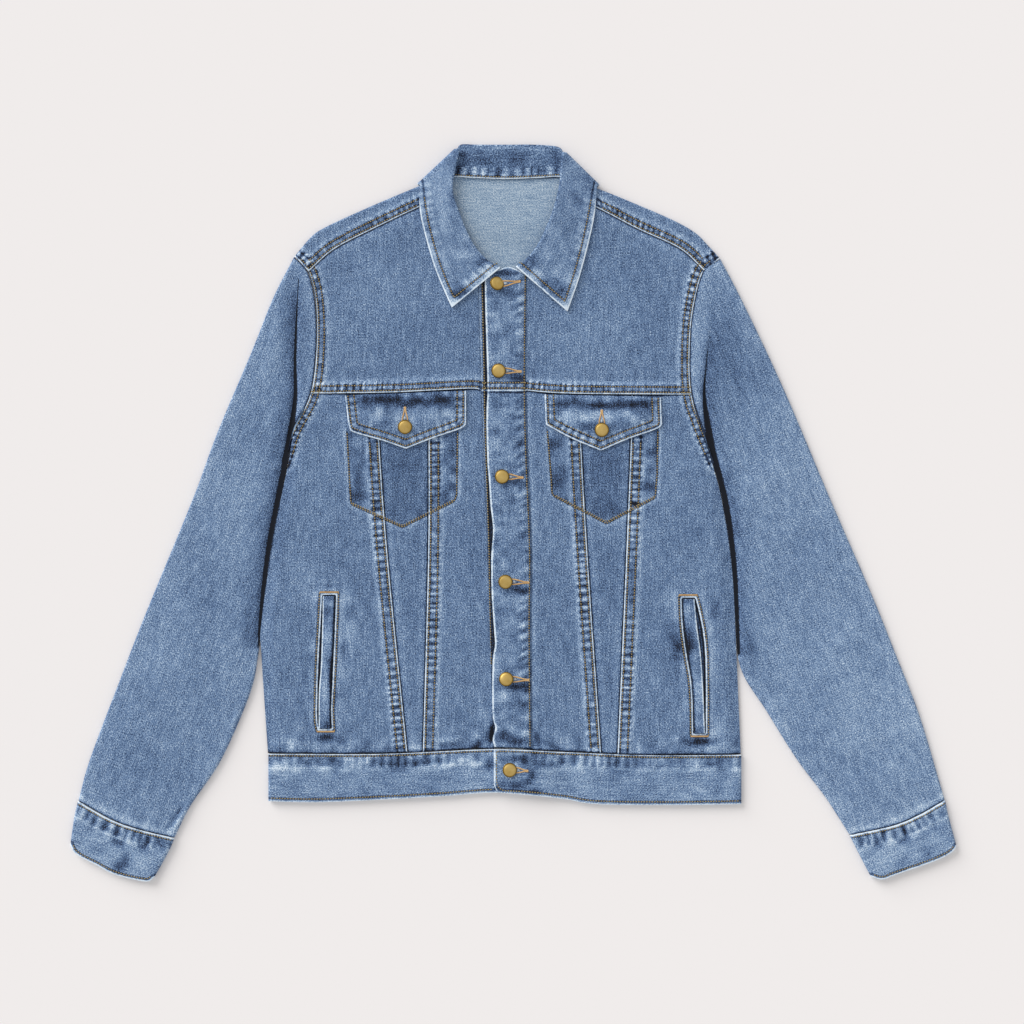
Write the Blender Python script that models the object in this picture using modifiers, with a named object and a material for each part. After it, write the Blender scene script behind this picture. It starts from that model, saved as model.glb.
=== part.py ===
"""Denim jacket, buttoned up and laid flat on its back, its front upwards.

X runs to the wearer's left, Y to the collar and Z up from the surface that the back lies on.
Tables are in millimetres. "right" and "left" are the wearer's, so right is at -X.
"""

import math

import bmesh
import bpy
import numpy as np

MM = 0.001

SINGLE = 1.2  # one ply of denim
DOUBLE = 2.0  # two plies sewn together
COLLAR = 1.8
GAP = 0.3  # clear space between pieces that lie on each other
INSET = 0.25  # each side of a seam, in the plane of the cloth
ARMHOLE_GAP = 0.7  # the sleeves' side of the armhole seam, which is the most curved one
CUFF_GAP = 0.8  # the sleeves' side of the cuff seam
BAND_GAP = 0.6  # the waistband's side of its seam

HOLLOW = 2.2  # between the back and the fronts
FRONT = SINGLE + HOLLOW  # underside of the fronts
SIDE_SEAM = SINGLE + GAP  # underside of the fronts at the side seams
SIDE_ROUND = 14.0  # width over which the fronts come down to the side seams
ON_FRONT = FRONT + SINGLE + GAP  # underside of what lies on the fronts

SLEEVE_HEIGHT = 4.8
CUFF_HEIGHT = 6.2
BAND = 2.2
BAND_FRONT = FRONT + BAND / 2
TAB = BAND_FRONT + BAND + GAP

LEAF_CLEAR = 0.5  # room that the leaf's back takes beyond its own wall
COLLAR_RISE = COLLAR + LEAF_CLEAR  # it lies under the yoke and lifts all above it
COLLAR_MIDDLE = (-5.0, 306.0)  # where that lift is full, and half its width in X
RISE_HALF_WIDTH = 101.0
RISE_FADE = 34.0
STAND_TURN = 1.8  # radius of the stand where it turns from the back to the front
LEAF_TURN = 5.5
EDGE_TURN = 3.6
TURN_HEIGHT = 6.5
EDGE_HEIGHT = 4.5
EDGE_CLEAR = 0.4  # room under the leaf's front edge

BACK_YOKE_SEAM = 150.0

BUTTON_RADIUS = 7.9
BUTTON_SIDES = 16
SHANK_RADIUS = 2.4
SHANK_HOLE = 3.0
SHANK_HOLE_SIDES = 12

DENIM = (0.144, 0.220, 0.356)
DENIM_PALE = (0.191, 0.266, 0.402)
BRASS = (0.584, 0.376, 0.060)

# Outlines, as x, y
SHOULDER_FOLD = {
    "right": [(-229, 269), (-212, 289), (-196, 300), (-148, 322), (-102, 341), (-78, 351)],
    "left": [(217, 267), (205, 280), (191, 294), (168, 307), (129, 324), (91, 339), (64, 348)],
}
SHOULDER_SEAM = {
    "right": [(-214, 253), (-188, 276), (-148, 297), (-101, 319), (-81, 328)],
    "left": [(200, 254), (175, 277), (130, 298), (89, 319), (69, 327)],
}
BACK_NECK = [(-78, 351), (-66, 353), (-9, 350), (49, 351), (64, 348)]
ARMHOLE = {
    "right": [(-229, 269), (-215, 253), (-207, 221), (-206, 173), (-212, 125), (-229, 87), (-234, 60)],
    "left": [(217, 267), (199, 253), (188, 210), (185, 165), (187, 125), (196, 92), (208, 56)],
}
BODY_SIDE = {
    "right": [(-234, 60), (-250, -19), (-264, -116), (-264, -147), (-259, -223), (-257, -252)],
    "left": [(208, 56), (219, 14), (230, -60), (235, -159), (239, -252)],
}
FRONT_NECK = {
    "right": [(-37, 254), (-48, 268), (-62, 292), (-73, 315), (-81, 328)],
    "left": [(7, 252), (22, 264), (38, 288), (52, 314), (69, 327)],
}
CHEST = {
    "right": [(-214, 125), (-129, 126), (-48, 130), (-34, 129)],
    "left": [(6, 129), (54, 125), (146, 124), (190, 124)],
}
PRINCESS_OUTER = {
    "right": [(-141, 126), (-140, 76), (-131, -48), (-110.5, -253)],
    "left": [(124, 124), (123.5, 76), (118.5, -48), (109.5, -254)],
}
PRINCESS_INNER = {
    "right": [(-89, 127), (-88.5, 76), (-89, -48), (-94.5, -251)],
    "left": [(71, 125), (71.5, 76), (78.5, -48), (92.5, -253)],
}
FRONT_EDGE = {
    "right": [(-37, 254), (-36, 235), (-33.5, 147), (-32, 95), (-26, -48), (-20, -247)],
    "left": [(7, 252), (5.5, 139), (7, 60), (11, -38), (11.5, -247)],
}
PLACKET_EDGE = [(-28, 250), (-29.5, 236), (-27, 147), (-28, 81), (-25, 15), (-21, -48), (-20, -137),
                (-18, -245)]
PLACKET_SEAM = [(14.5, 250), (13.5, 139), (15, 60), (19, -38), (18.5, -119), (19.5, -246)]
UNDER_END = [(3, 250), (2, 139), (4, 60), (8, -38), (8, -246)]
FRONT_FOOT = -247.0  # lower end of the fronts' edges
PLACKET_TOP = 250.0
PLACKET_FOOT = {"edge": -245.0, "seam": -246.0, "under": -246.0}
FLAP = {
    "right": {
        "top": [(-176, 123), (-129, 125), (-49, 128)],
        "outer": [(-171, 88), (-173, 97), (-176, 123)],
        "inner": [(-49, 93), (-49, 128)],
        "fall": [(-171, 88), (-166, 84), (-135, 75), (-112, 67)],
        "climb": [(-112, 67), (-84, 78), (-55, 88), (-49, 93)],
    },
    "left": {
        "top": [(33, 124), (93, 123), (155, 121)],
        "outer": [(156, 93), (155, 121)],
        "inner": [(35, 92), (34, 97), (33, 124)],
        "fall": [(35, 92), (61, 78), (92, 65)],
        "climb": [(92, 65), (120, 77), (151, 88), (156, 93)],
    },
}
# Welt corners: top outer, top inner, bottom inner, bottom outer
WELT = {
    "right": [(-199, -85), (-186, -85), (-190, -227), (-203, -227)],
    "left": [(189, -88), (176, -88), (187.5, -232), (200.5, -232)],
}
BAND_TOP = [(-258, -252), (-135, -252), (-20, -247), (51, -250), (140, -253.5), (240, -253)]
BAND_BOTTOM = [(-258, -302), (-204, -303), (-131, -300), (-78, -297), (-20, -293), (24, -296), (56, -300),
               (88, -305), (164, -306), (240, -305)]
BAND_ENDS = {"under": 16.0, "right": -256.5, "left": 239.5, "tab": -20.0}
TAB_START = 62.0  # where the band starts to climb over its under end, and how long it takes
TAB_CLIMB = 38.0
TAB_STOPS = (50, 37, 24, 2)  # its sections from there, clear of the button
SLEEVE = {
    "right": {
        "outer": [(-229, 269), (-251, 226), (-274, 169), (-310, 84), (-336, 14), (-385, -105), (-413, -177),
                  (-444, -259), (-456, -302)],
        "inner": [(-234, 60), (-247, 14), (-256, -30), (-264, -72), (-269, -116), (-268, -150), (-276, -190),
                  (-306, -259), (-338, -307), (-355, -341)],
    },
    "left": {
        "outer": [(217, 267), (236, 231), (266, 169), (293, 109), (333, 14), (376, -85), (401, -147),
                  (427, -214), (453, -301)],
        "inner": [(208, 56), (224, 14), (236, -50), (241, -110), (244, -163), (266, -208), (298, -259),
                  (328, -299), (353, -338)],
    },
}
CUFF = {
    "right": {
        "seam": [(-456, -302), (-422, -321), (-395, -331), (-355, -341)],
        "edge": [(-464, -347), (-458, -357), (-436, -369), (-416, -379), (-385, -386), (-376, -382)],
        "outer": [(-456, -302), (-460, -319), (-464, -347)],
        "inner": [(-355, -341), (-361, -355), (-376, -382)],
    },
    "left": {
        "seam": [(453, -301), (425, -317), (398, -328), (353, -338)],
        "edge": [(465, -349), (459, -356), (441, -365), (401, -379), (387, -384), (375, -381)],
        "outer": [(453, -301), (457, -319), (465, -349)],
        "inner": [(353, -338), (361, -354), (375, -381)],
    },
}
# The collar's sections: whether it lies at the back, turns at the side or lies on the front, then the
# neck seam, the roll line and the outer edge, each as x, y
COLLAR_SECTIONS = [
    ("front", (-16, 251.5), (-13, 256.5), (-64, 215)),
    ("front", (-36, 263), (-28, 266), (-70, 228)),
    ("front", (-55, 284), (-42, 283), (-80, 252)),
    ("front", (-67, 308), (-55, 312), (-89, 280)),
    ("front", (-75, 330), (-63, 341), (-97, 314)),
    ("side", (-74, 345), (-59, 386), (-103, 346)),
    ("back", (-45, 345), (-42, 386), (-62, 309)),
    ("back", (-8, 343), (-8, 386), (-6, 307)),
    ("back", (30, 344), (28, 386), (50, 309)),
    ("side", (58, 343), (57, 379), (92, 346)),
    ("front", (63, 326), (48, 341), (85, 310)),
    ("front", (51, 306), (40, 312), (78, 278)),
    ("front", (39, 283), (27, 283), (69, 245)),
    ("front", (22, 263), (14, 266), (61, 222)),
    ("front", (6, 252.5), (3, 257.5), (57, 211)),
]
FRONT_BUTTONS = [(-17, 240), (-15, 149), (-11.5, 38), (-8, -72), (-7, -174), (-3.5, -269)]
POCKET_BUTTONS = {"right": (-113, 90), "left": (93, 87)}
# A button's profile from its top down, as radius, height over the underside of its head
BUTTON_PROFILE = [(0, 2.5), (5.6, 2.3), (6.6, 3.0), (7.4, 2.8), (BUTTON_RADIUS, 2.0), (BUTTON_RADIUS, 0.8),
                  (7.2, 0), (SHANK_RADIUS, 0)]


def ease(t):
    """0 to 1, level at both ends."""
    t = np.clip(t, 0.0, 1.0)
    return t * t * (3 - 2 * t)


def smooth(points, steps=8):
    """Close points on a smooth line through the given ones."""
    p = np.array(points, float)
    if len(p) == 2:
        return p
    p = np.vstack([2 * p[0] - p[1], p, 2 * p[-1] - p[-2]])
    line = []
    for a, b, c, d in zip(p, p[1:], p[2:], p[3:]):
        for t in np.arange(steps) / steps:
            line.append(0.5 * (2 * b + (c - a) * t + (2 * a - 5 * b + 4 * c - d) * t**2
                               + (3 * b - 3 * c + d - a) * t**3))
    return np.vstack([line, p[-2]])


def spaced(line, count):
    """count + 1 points at equal steps along a line."""
    steps = np.linalg.norm(np.diff(line, axis=0), axis=1)
    along = np.concatenate([[0.0], np.cumsum(steps)])
    at = np.linspace(0, along[-1], count + 1)
    return np.stack([np.interp(at, along, line[:, k]) for k in range(line.shape[1])], axis=1)


def clipped(line, low, high, axis=1):
    """The stretch of a line between two heights, or two widths for axis 0, whichever way it runs."""
    turned = line if line[-1, axis] > line[0, axis] else line[::-1]
    value, other = turned[:, axis], turned[:, 1 - axis]
    value = np.maximum.accumulate(value)
    inside = value[(value > low) & (value < high)]
    stops = np.concatenate([[low], inside, [high]])
    across = np.interp(stops, value, other)
    pair = (across, stops) if axis == 1 else (stops, across)
    return np.stack(pair, axis=1)


def filled(bottom, top, left, right, columns, rows, fade=1):
    """A grid of points, rows + 1 by columns + 1, filled in between four sides. The curve of the bottom and
    the top is lost into the piece the sooner, the higher fade is."""
    bottom, top = spaced(bottom, columns), spaced(top, columns)
    left, right = spaced(left, rows)[:, None], spaced(right, rows)[:, None]
    u = np.linspace(0, 1, columns + 1)[None, :, None]
    v = np.linspace(0, 1, rows + 1)[:, None, None]
    straight = (1 - u) * left + u * right
    bottom_curve = bottom - straight[0]
    top_curve = top - straight[-1]
    return straight + (1 - v) ** fade * bottom_curve + v**fade * top_curve


def beside(line, by):
    """The line moved to the left of the way that it runs."""
    way = np.gradient(line, axis=0)
    way /= np.linalg.norm(way, axis=1, keepdims=True)
    return line + by * np.stack([-way[:, 1], way[:, 0]], axis=1)


def inset(grid, by=INSET):
    """The same grid with its border moved inwards, which leaves the gap at a seam."""
    moved = grid.copy()
    for edge, inner in ((np.s_[0], np.s_[1]), (np.s_[-1], np.s_[-2]),
                        (np.s_[:, 0], np.s_[:, 1]), (np.s_[:, -1], np.s_[:, -2])):
        way = grid[inner] - grid[edge]
        moved[edge] += by * way / np.linalg.norm(way, axis=-1, keepdims=True)
    return moved


def rise(x, y):
    """How far the collar's leaf, folded under the back yoke, lifts the cloth above it."""
    across = ease((RISE_HALF_WIDTH + RISE_FADE - np.abs(x - COLLAR_MIDDLE[0])) / RISE_FADE)
    return COLLAR_RISE * across * ease((y - COLLAR_MIDDLE[1] + RISE_FADE) / RISE_FADE)


def front_height(x, y):
    """Underside of the fronts, which come down to the back at the side seams below the armpits."""
    side = "right" if np.mean(x) < 0 else "left"
    line = smooth(BODY_SIDE[side])
    seam = np.interp(y, line[::-1, 1], line[::-1, 0])
    inwards = 1 if side == "right" else -1
    away = inwards * (x - seam) + np.maximum(y - line[0, 1], 0)
    return SIDE_SEAM + (FRONT - SIDE_SEAM) * ease(away / SIDE_ROUND) + rise(x, y)


def back_height(x, y):
    return rise(x, y)


def on_front_height(x, y):
    return front_height(x, y) + SINGLE + GAP


def make_object(name, mesh, colour, metallic=0.0, roughness=0.85):
    """One named piece in the jacket's collection, with a material of its own."""
    material = bpy.data.materials.new(name)
    material.use_nodes = True
    shader = material.node_tree.nodes["Principled BSDF"]
    shader.inputs["Base Color"].default_value = (*colour, 1)
    shader.inputs["Metallic"].default_value = metallic
    shader.inputs["Roughness"].default_value = roughness
    mesh.materials.append(material)
    piece = bpy.data.objects.new(name, mesh)
    jacket.objects.link(piece)
    return piece


def grid_mesh(name, points, closed=False, kept=None):
    """A grid of quads through points, rows by columns by x, y, z in millimetres."""
    rows, columns = points.shape[:2]
    if closed:
        points = np.concatenate([points, points[:, :1]], axis=1)
        columns += 1
    bm = bmesh.new()
    bmesh.ops.create_grid(bm, x_segments=columns - 1, y_segments=rows - 1, size=0.5)
    dropped = []
    for vert in bm.verts:
        column = round((vert.co.x + 0.5) * (columns - 1))
        row = round((vert.co.y + 0.5) * (rows - 1))
        vert.co = points[row, column] * MM
        if kept is not None and not kept[row, column]:
            dropped.append(vert)
    bmesh.ops.delete(bm, geom=dropped, context="VERTS")
    bmesh.ops.remove_doubles(bm, verts=bm.verts, dist=1e-7)
    mesh = bpy.data.meshes.new(name)
    bm.to_mesh(mesh)
    bm.free()
    mesh.shade_smooth()
    return mesh


def thicken(piece, thickness, side):
    """Solidify to the side that the faces look to (1), away from it (-1) or both ways (0)."""
    shell = piece.modifiers.new("Thickness", "SOLIDIFY")
    shell.thickness = thickness * MM
    shell.offset = side
    return piece


def panel(name, plan, height, thickness, colour=DENIM):
    """A flat piece: a grid in plan, lifted to the height of its underside."""
    plan = inset(plan)
    lifted = height(plan[..., 0], plan[..., 1])
    mesh = grid_mesh(name, np.dstack([plan, lifted]))
    return thicken(make_object(name, mesh, colour), thickness, 1)


def pressed_tube(name, plan_sides, across, rows, height, wall, colour=DENIM):
    """A tube pressed flat: two layers with a round fold at each side of its plan."""
    start, end, first, second = plan_sides
    radius = height / 2
    turns = np.radians([-90, -45, 0, 45, 90])
    plan = filled(start, end, first, second, across, rows, fade=4)
    width = np.linalg.norm(plan[:, -1] - plan[:, 0], axis=1)
    columns = []
    shares = np.linspace(0, 1, across + 1)

    def at(share, z):
        """The points at a share of each row's width, share being one number a row."""
        spot = [[np.interp(s, shares, row[:, k]) for k in (0, 1)] for s, row in zip(share, plan)]
        columns.append(np.column_stack([spot, np.full(len(share), z)]))

    for turn in turns:
        at(radius * (1 - math.cos(turn)) / width, radius * (1 + math.sin(turn)))
    for step in range(1, across):
        at(radius / width + step / across * (1 - 2 * radius / width), height)
    for turn in turns[::-1]:
        at(1 - radius * (1 - math.cos(turn)) / width, radius * (1 + math.sin(turn)))
    for step in range(across - 1, 0, -1):
        at(radius / width + step / across * (1 - 2 * radius / width), 0.0)
    mesh = grid_mesh(name, np.stack(columns, axis=1), closed=True)
    upper = [face for face in mesh.polygons if face.center.z > radius * MM]
    if sum(face.normal.z * face.area for face in upper) < 0:
        mesh.flip_normals()
    return thicken(make_object(name, mesh, colour), wall, -1)


def make_back():
    right, left = smooth(ARMHOLE["right"]), smooth(ARMHOLE["left"])
    seam_right = clipped(right, BACK_YOKE_SEAM, right[0, 1])[0]
    seam_left = clipped(left, BACK_YOKE_SEAM, left[0, 1])[0]
    seam = np.array([seam_right, seam_left])
    sides = []
    for hole, side in ((right, "right"), (left, "left")):
        down = smooth(BODY_SIDE[side])
        sides.append(np.vstack([down[::-1], clipped(hole, down[0, 1] + 1, BACK_YOKE_SEAM)]))
    hem = clipped(smooth(BAND_TOP), sides[0][0, 0], sides[1][0, 0], axis=0)
    panel("back_panel", filled(hem, seam, *sides, 6, 24), back_height, SINGLE)
    make_back_yoke(seam)


def make_back_yoke(seam):
    """The yoke's back, and the strips that it sends over the shoulders to the front seams."""
    shoulder, neck, down, wrap, strip = 10, 6, 8, 4, 2
    radius = FRONT / 2
    folds = [spaced(smooth(SHOULDER_FOLD["right"]), shoulder),
             spaced(smooth(BACK_NECK), neck),
             spaced(smooth(SHOULDER_FOLD["left"])[::-1], shoulder)]
    top = np.vstack([folds[0], folds[1][1:-1], folds[2]])
    columns = len(top) - 1
    way = np.gradient(top, axis=0)
    outwards = np.stack([-way[:, 1], way[:, 0]], axis=1)
    outwards /= np.linalg.norm(outwards, axis=1, keepdims=True)
    is_neck = np.zeros(columns + 1, bool)
    is_neck[shoulder + 1 : shoulder + neck] = True
    axis = top - outwards * np.where(is_neck, INSET, radius + SINGLE / 2)[:, None]
    armholes = [clipped(smooth(ARMHOLE[side]), BACK_YOKE_SEAM, ARMHOLE[side][0][1])
                for side in ("right", "left")]
    u = np.linspace(0, 1, columns + 1)[:, None]
    rows = []
    for v in np.linspace(0, 1, down + 1):
        left, right = (spaced(line, down)[round(v * down)] for line in armholes)
        ends = (1 - u) * left + u * right
        low = seam[0] + u * (seam[1] - seam[0])
        flat = (1 - v) * low + v * axis + ends
        flat -= (1 - u) * ((1 - v) * low[0] + v * axis[0]) + u * ((1 - v) * low[-1] + v * axis[-1])
        if v == 1:
            flat = axis.copy()
        if v == 0:
            flat[:, 1] += INSET
        rows.append(np.column_stack([flat, back_height(*flat.T) + SINGLE / 2]))
    middle = rows[-1][:, 2] + radius
    for turn in np.radians(np.linspace(45, 180, wrap)):
        flat = axis + outwards * radius * math.sin(turn)
        rows.append(np.column_stack([flat, middle - radius * math.cos(turn)]))
    front_seam = np.vstack([spaced(smooth(SHOULDER_SEAM["right"]), shoulder),
                            folds[1][1:-1], spaced(smooth(SHOULDER_SEAM["left"])[::-1], shoulder)])
    front_seam = front_seam + outwards * INSET
    for share in np.arange(1, strip + 1) / strip:
        flat = axis + share * (front_seam - axis)
        height = FRONT + rise(*flat.T) + SINGLE / 2
        rows.append(np.column_stack([flat, height]))
    points = np.stack(rows)
    points[:, 0, 0] += INSET
    points[:, -1, 0] -= INSET
    kept = np.ones(points.shape[:2], bool)
    kept[down + 1 :, shoulder + 1 : shoulder + neck] = False
    piece = make_object("back_yoke", grid_mesh("back_yoke", points, kept=kept), DENIM)
    thicken(piece, SINGLE, 0)


def make_front(side):
    first, second = ("outer", "inner") if side == "right" else ("inner", "outer")
    hole = smooth(ARMHOLE[side])
    chest = smooth(CHEST[side])
    edge = smooth(FRONT_EDGE[side])
    seams = {"outer": smooth(PRINCESS_OUTER[side]), "inner": smooth(PRINCESS_INNER[side])}
    hem = smooth(BAND_TOP)
    outer_level, inner_level = (chest[0, 1], chest[-1, 1]) if side == "right" else (chest[-1, 1], chest[0, 1])

    neck_side = np.vstack([clipped(edge, inner_level, FRONT_NECK[side][0][1]), smooth(FRONT_NECK[side])[1:]])
    armhole = clipped(hole, outer_level, SHOULDER_SEAM[side][0][1])
    seam = smooth(SHOULDER_SEAM[side])
    ends = (armhole, neck_side) if side == "right" else (neck_side, armhole)
    seam = seam if side == "right" else seam[::-1]
    low = clipped(chest, ends[0][0, 0], ends[1][0, 0], axis=0)
    panel(f"front_yoke_{side}", filled(low, seam, *ends, 10, 10), front_height, SINGLE)

    long_side = np.vstack([smooth(BODY_SIDE[side])[::-1],
                           clipped(hole, BODY_SIDE[side][0][1] + 1, outer_level)])
    strips = {
        "side": (long_side, seams["outer"][::-1], 6, 20),
        "panel": (seams["outer"][::-1], seams["inner"][::-1], 3, 9),
        "centre": (seams["inner"][::-1], clipped(edge, FRONT_FOOT, inner_level), 4, 12),
    }
    for name, (away, near, columns, rows) in strips.items():
        left, right = (away, near) if side == "right" else (near, away)
        low = clipped(hem, left[0, 0], right[0, 0], axis=0)
        high = clipped(chest, left[-1, 0], right[-1, 0], axis=0)
        shade = DENIM_PALE if name == "panel" else DENIM
        panel(f"front_{name}_{side}", filled(low, high, left, right, columns, rows), front_height, SINGLE,
              shade)


def make_plackets():
    left = clipped(smooth(PLACKET_EDGE), PLACKET_FOOT["edge"], PLACKET_TOP)
    right = clipped(smooth(PLACKET_SEAM), PLACKET_FOOT["seam"], PLACKET_TOP)
    plan = filled(np.array([left[0], right[0]]), np.array([left[-1], right[-1]]), left, right, 3, 18)
    top = panel("placket_buttonhole", plan, on_front_height, DOUBLE, DENIM_PALE)
    left = clipped(smooth(FRONT_EDGE["right"]), PLACKET_FOOT["under"], PLACKET_TOP)
    right = clipped(smooth(UNDER_END), PLACKET_FOOT["under"], PLACKET_TOP)
    plan = filled(np.array([left[0], right[0]]), np.array([left[-1], right[-1]]), left, right, 2, 12)
    panel("placket_button", plan, lambda x, y: front_height(x, y) + SINGLE - DOUBLE, DOUBLE)
    return top


def make_flap(side):
    sides = {name: smooth(line) for name, line in FLAP[side].items()}
    ends = (sides["outer"], sides["inner"]) if side == "right" else (sides["inner"], sides["outer"])
    low = np.vstack([spaced(sides["fall"], 3), spaced(sides["climb"], 3)[1:]])
    plan = filled(low, sides["top"], *ends, 6, 3)
    plan += np.linspace(1, 0, 4)[:, None, None] * (low - plan[0])
    return panel(f"pocket_flap_{side}", plan, on_front_height, DOUBLE, DENIM_PALE)


def make_welt(side):
    outer_top, inner_top, inner_low, outer_low = (np.array(p, float) for p in WELT[side])
    left, right = ((outer_low, outer_top), (inner_low, inner_top))
    if side == "left":
        left, right = right, left
    plan = filled(np.array([left[0], right[0]]), np.array([left[1], right[1]]),
                 np.array(left), np.array(right), 2, 6)
    panel(f"pocket_welt_{side}", plan, on_front_height, DOUBLE)


def make_sleeve(side):
    away = -1 if side == "right" else 1
    start = beside(smooth(ARMHOLE[side]), away * ARMHOLE_GAP)
    ring = {name: smooth(line) for name, line in CUFF[side].items()}
    end = beside(ring["seam"], -away * CUFF_GAP)
    pressed_tube(f"sleeve_{side}", (start, end, smooth(SLEEVE[side]["outer"]), smooth(SLEEVE[side]["inner"])),
                 12, 14, SLEEVE_HEIGHT, SINGLE)
    pressed_tube(f"cuff_{side}", (ring["seam"], ring["edge"], ring["outer"], ring["inner"]),
                 12, 3, CUFF_HEIGHT, DOUBLE, DENIM_PALE)


def make_waistband():
    """One strip: under end, wearer's right, round the side, the back, round the side, and on to its tab."""
    radius = (BAND_FRONT - BAND / 2) / 2
    middle = BAND / 2 + radius
    right = BAND_ENDS["right"] + BAND / 2 + radius
    left = BAND_ENDS["left"] - BAND / 2 - radius
    turns = np.radians([45, 90, 135])
    route = [(x, BAND_FRONT) for x in np.linspace(BAND_ENDS["under"], right, 15)]
    route += [(right - radius * math.sin(t), middle + radius * math.cos(t)) for t in turns]
    route += [(x, BAND / 2) for x in np.linspace(right, left, 20)]
    route += [(left + radius * math.sin(t), middle - radius * math.cos(t)) for t in turns]
    route += [(x, BAND_FRONT) for x in np.linspace(left, TAB_START, 9)]
    route += [(x, BAND_FRONT + (TAB - BAND_FRONT) * ease((TAB_START - x) / TAB_CLIMB)) for x in TAB_STOPS]
    route += [(BAND_ENDS["tab"], TAB)]
    x, z = np.array(route).T
    top, bottom = smooth(BAND_TOP), smooth(BAND_BOTTOM)
    high = np.interp(x, top[:, 0], top[:, 1]) - BAND_GAP
    low = np.interp(x, bottom[:, 0], bottom[:, 1])
    rows = [np.stack([x, high + share * (low - high), z], axis=1) for share in (0, 0.5, 1)]
    piece = make_object("waistband", grid_mesh("waistband", np.stack(rows)), DENIM_PALE)
    thicken(piece, BAND, 0)
    return piece


def collar_sections():
    """Each section's two ends of its turned-over cloth: neck seam, top of the stand, top of the leaf and
    outer edge as x, y, z, with the way from the stand to the leaf and the way up over the roll."""
    found = []
    last = len(COLLAR_SECTIONS) - 1
    for index, (place, *plan) in enumerate(COLLAR_SECTIONS):
        seam, roll, edge = (np.array(p, float) for p in plan)
        if place != "side":
            found.append(flat_section(place, seam, roll, edge))
            continue
        centre = np.array(COLLAR_MIDDLE)
        turning = np.radians([-90, -45, 0, 45, 90])
        if index < last / 2:
            turning = turning[::-1]
        for turn in turning:
            found.append(turned_section(turn, seam, roll, edge, centre))
    return found


def flat_section(place, seam, roll, edge):
    on_top = place == "front"
    up = (roll - edge) / np.linalg.norm(roll - edge)
    step = LEAF_TURN - STAND_TURN
    top = roll - up * (step / 2 + COLLAR / 2)
    stand = TURN_HEIGHT - COLLAR_RISE + (STAND_TURN if on_top else -STAND_TURN)
    stand_top = np.array([*top, stand + rise(*top)])
    leaf_top = stand_top + np.array([0, 0, step if on_top else -step])
    edge_height = ON_FRONT + COLLAR / 2 + EDGE_CLEAR + rise(*edge) if on_top else COLLAR / 2
    base = np.array([*seam, stand + rise(*seam)])
    return base, stand_top, leaf_top, np.array([*edge, edge_height]), np.array([*up, 0.0])


def turned_section(turn, seam, roll, edge, centre):
    """A section where the collar turns from the back to the front, its cloth standing at the angle given."""
    def around(point, way, radius, height):
        out = np.array([*way, 0.0]) * math.cos(turn) + np.array([0, 0, math.sin(turn)])
        return np.array([*(point - way * (radius + COLLAR / 2)), height]) + out * radius

    def outwards(a, b):
        way = b - a
        normal = np.array([-way[1], way[0]]) / np.linalg.norm(way)
        return normal if np.dot(normal, a - centre) > 0 else -normal

    leaf_way, stand_way = outwards(edge, roll), outwards(seam, roll)
    up = (roll - seam) / np.linalg.norm(roll - seam) + (roll - edge) / np.linalg.norm(roll - edge)
    up /= np.linalg.norm(up)
    top = roll - up * (LEAF_TURN - STAND_TURN + COLLAR) / 2
    leaf_top = around(top, leaf_way, LEAF_TURN, TURN_HEIGHT)
    stand_top = around(top - leaf_way * (LEAF_TURN - STAND_TURN), leaf_way, STAND_TURN, TURN_HEIGHT)
    base = around(seam, stand_way, STAND_TURN, TURN_HEIGHT)
    return base, stand_top, leaf_top, around(edge, leaf_way, EDGE_TURN, EDGE_HEIGHT), np.array([*up, 0.0])


def make_collar():
    rows = []
    for base, stand, leaf, edge, up in collar_sections():
        middle, half = (stand + leaf) / 2, (leaf - stand) / 2
        reach = np.linalg.norm(half)
        row = [base, (base + stand) / 2, stand]
        row += [middle - half * math.cos(t) + up * reach * math.sin(t) for t in np.radians([45, 90, 135])]
        row += [leaf, leaf + (edge - leaf) / 3, leaf + (edge - leaf) * 2 / 3, edge]
        rows.append(row)
    piece = make_object("collar", grid_mesh("collar", np.array(rows)), DENIM_PALE)
    thicken(piece, COLLAR, 0)


def make_button(name, spot, cloth_top, depth, holder):
    """A shank button, turned about its own axis, and the hole that its shank goes through."""
    profile = BUTTON_PROFILE + [(SHANK_RADIUS, -depth), (0, -depth)]
    bm = bmesh.new()
    verts = [bm.verts.new((r * MM, 0, h * MM)) for r, h in profile]
    for a, b in zip(verts, verts[1:]):
        bm.edges.new((a, b))
    mesh = bpy.data.meshes.new(name)
    bm.to_mesh(mesh)
    bm.free()
    button = make_object(name, mesh, BRASS, metallic=1.0, roughness=0.38)
    button.location = (spot[0] * MM, spot[1] * MM, (cloth_top + GAP) * MM)
    lathe = button.modifiers.new("Turn", "SCREW")
    lathe.steps = BUTTON_SIDES
    lathe.render_steps = BUTTON_SIDES
    lathe.use_merge_vertices = True
    lathe.merge_threshold = 1e-6
    lathe.use_smooth_shade = True

    bm = bmesh.new()
    bmesh.ops.create_cone(bm, cap_ends=True, segments=SHANK_HOLE_SIDES, radius1=SHANK_HOLE * MM,
                          radius2=SHANK_HOLE * MM, depth=4 * DOUBLE * MM)
    mesh = bpy.data.meshes.new(f"{name}_hole")
    bm.to_mesh(mesh)
    bm.free()
    cutter = bpy.data.objects.new(f"{name}_hole", mesh)
    cutter.location = (spot[0] * MM, spot[1] * MM, (cloth_top - DOUBLE / 2) * MM)
    cutter.hide_render = True
    cutter.display_type = "WIRE"
    cutters.objects.link(cutter)
    hole = holder.modifiers.new(f"{name} hole", "BOOLEAN")
    hole.operation = "DIFFERENCE"
    hole.object = cutter


def top_of(spot, thickness):
    x, y = np.array([spot[0]], float), np.array([spot[1]], float)
    return float(on_front_height(x, y)[0]) + thickness


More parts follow.
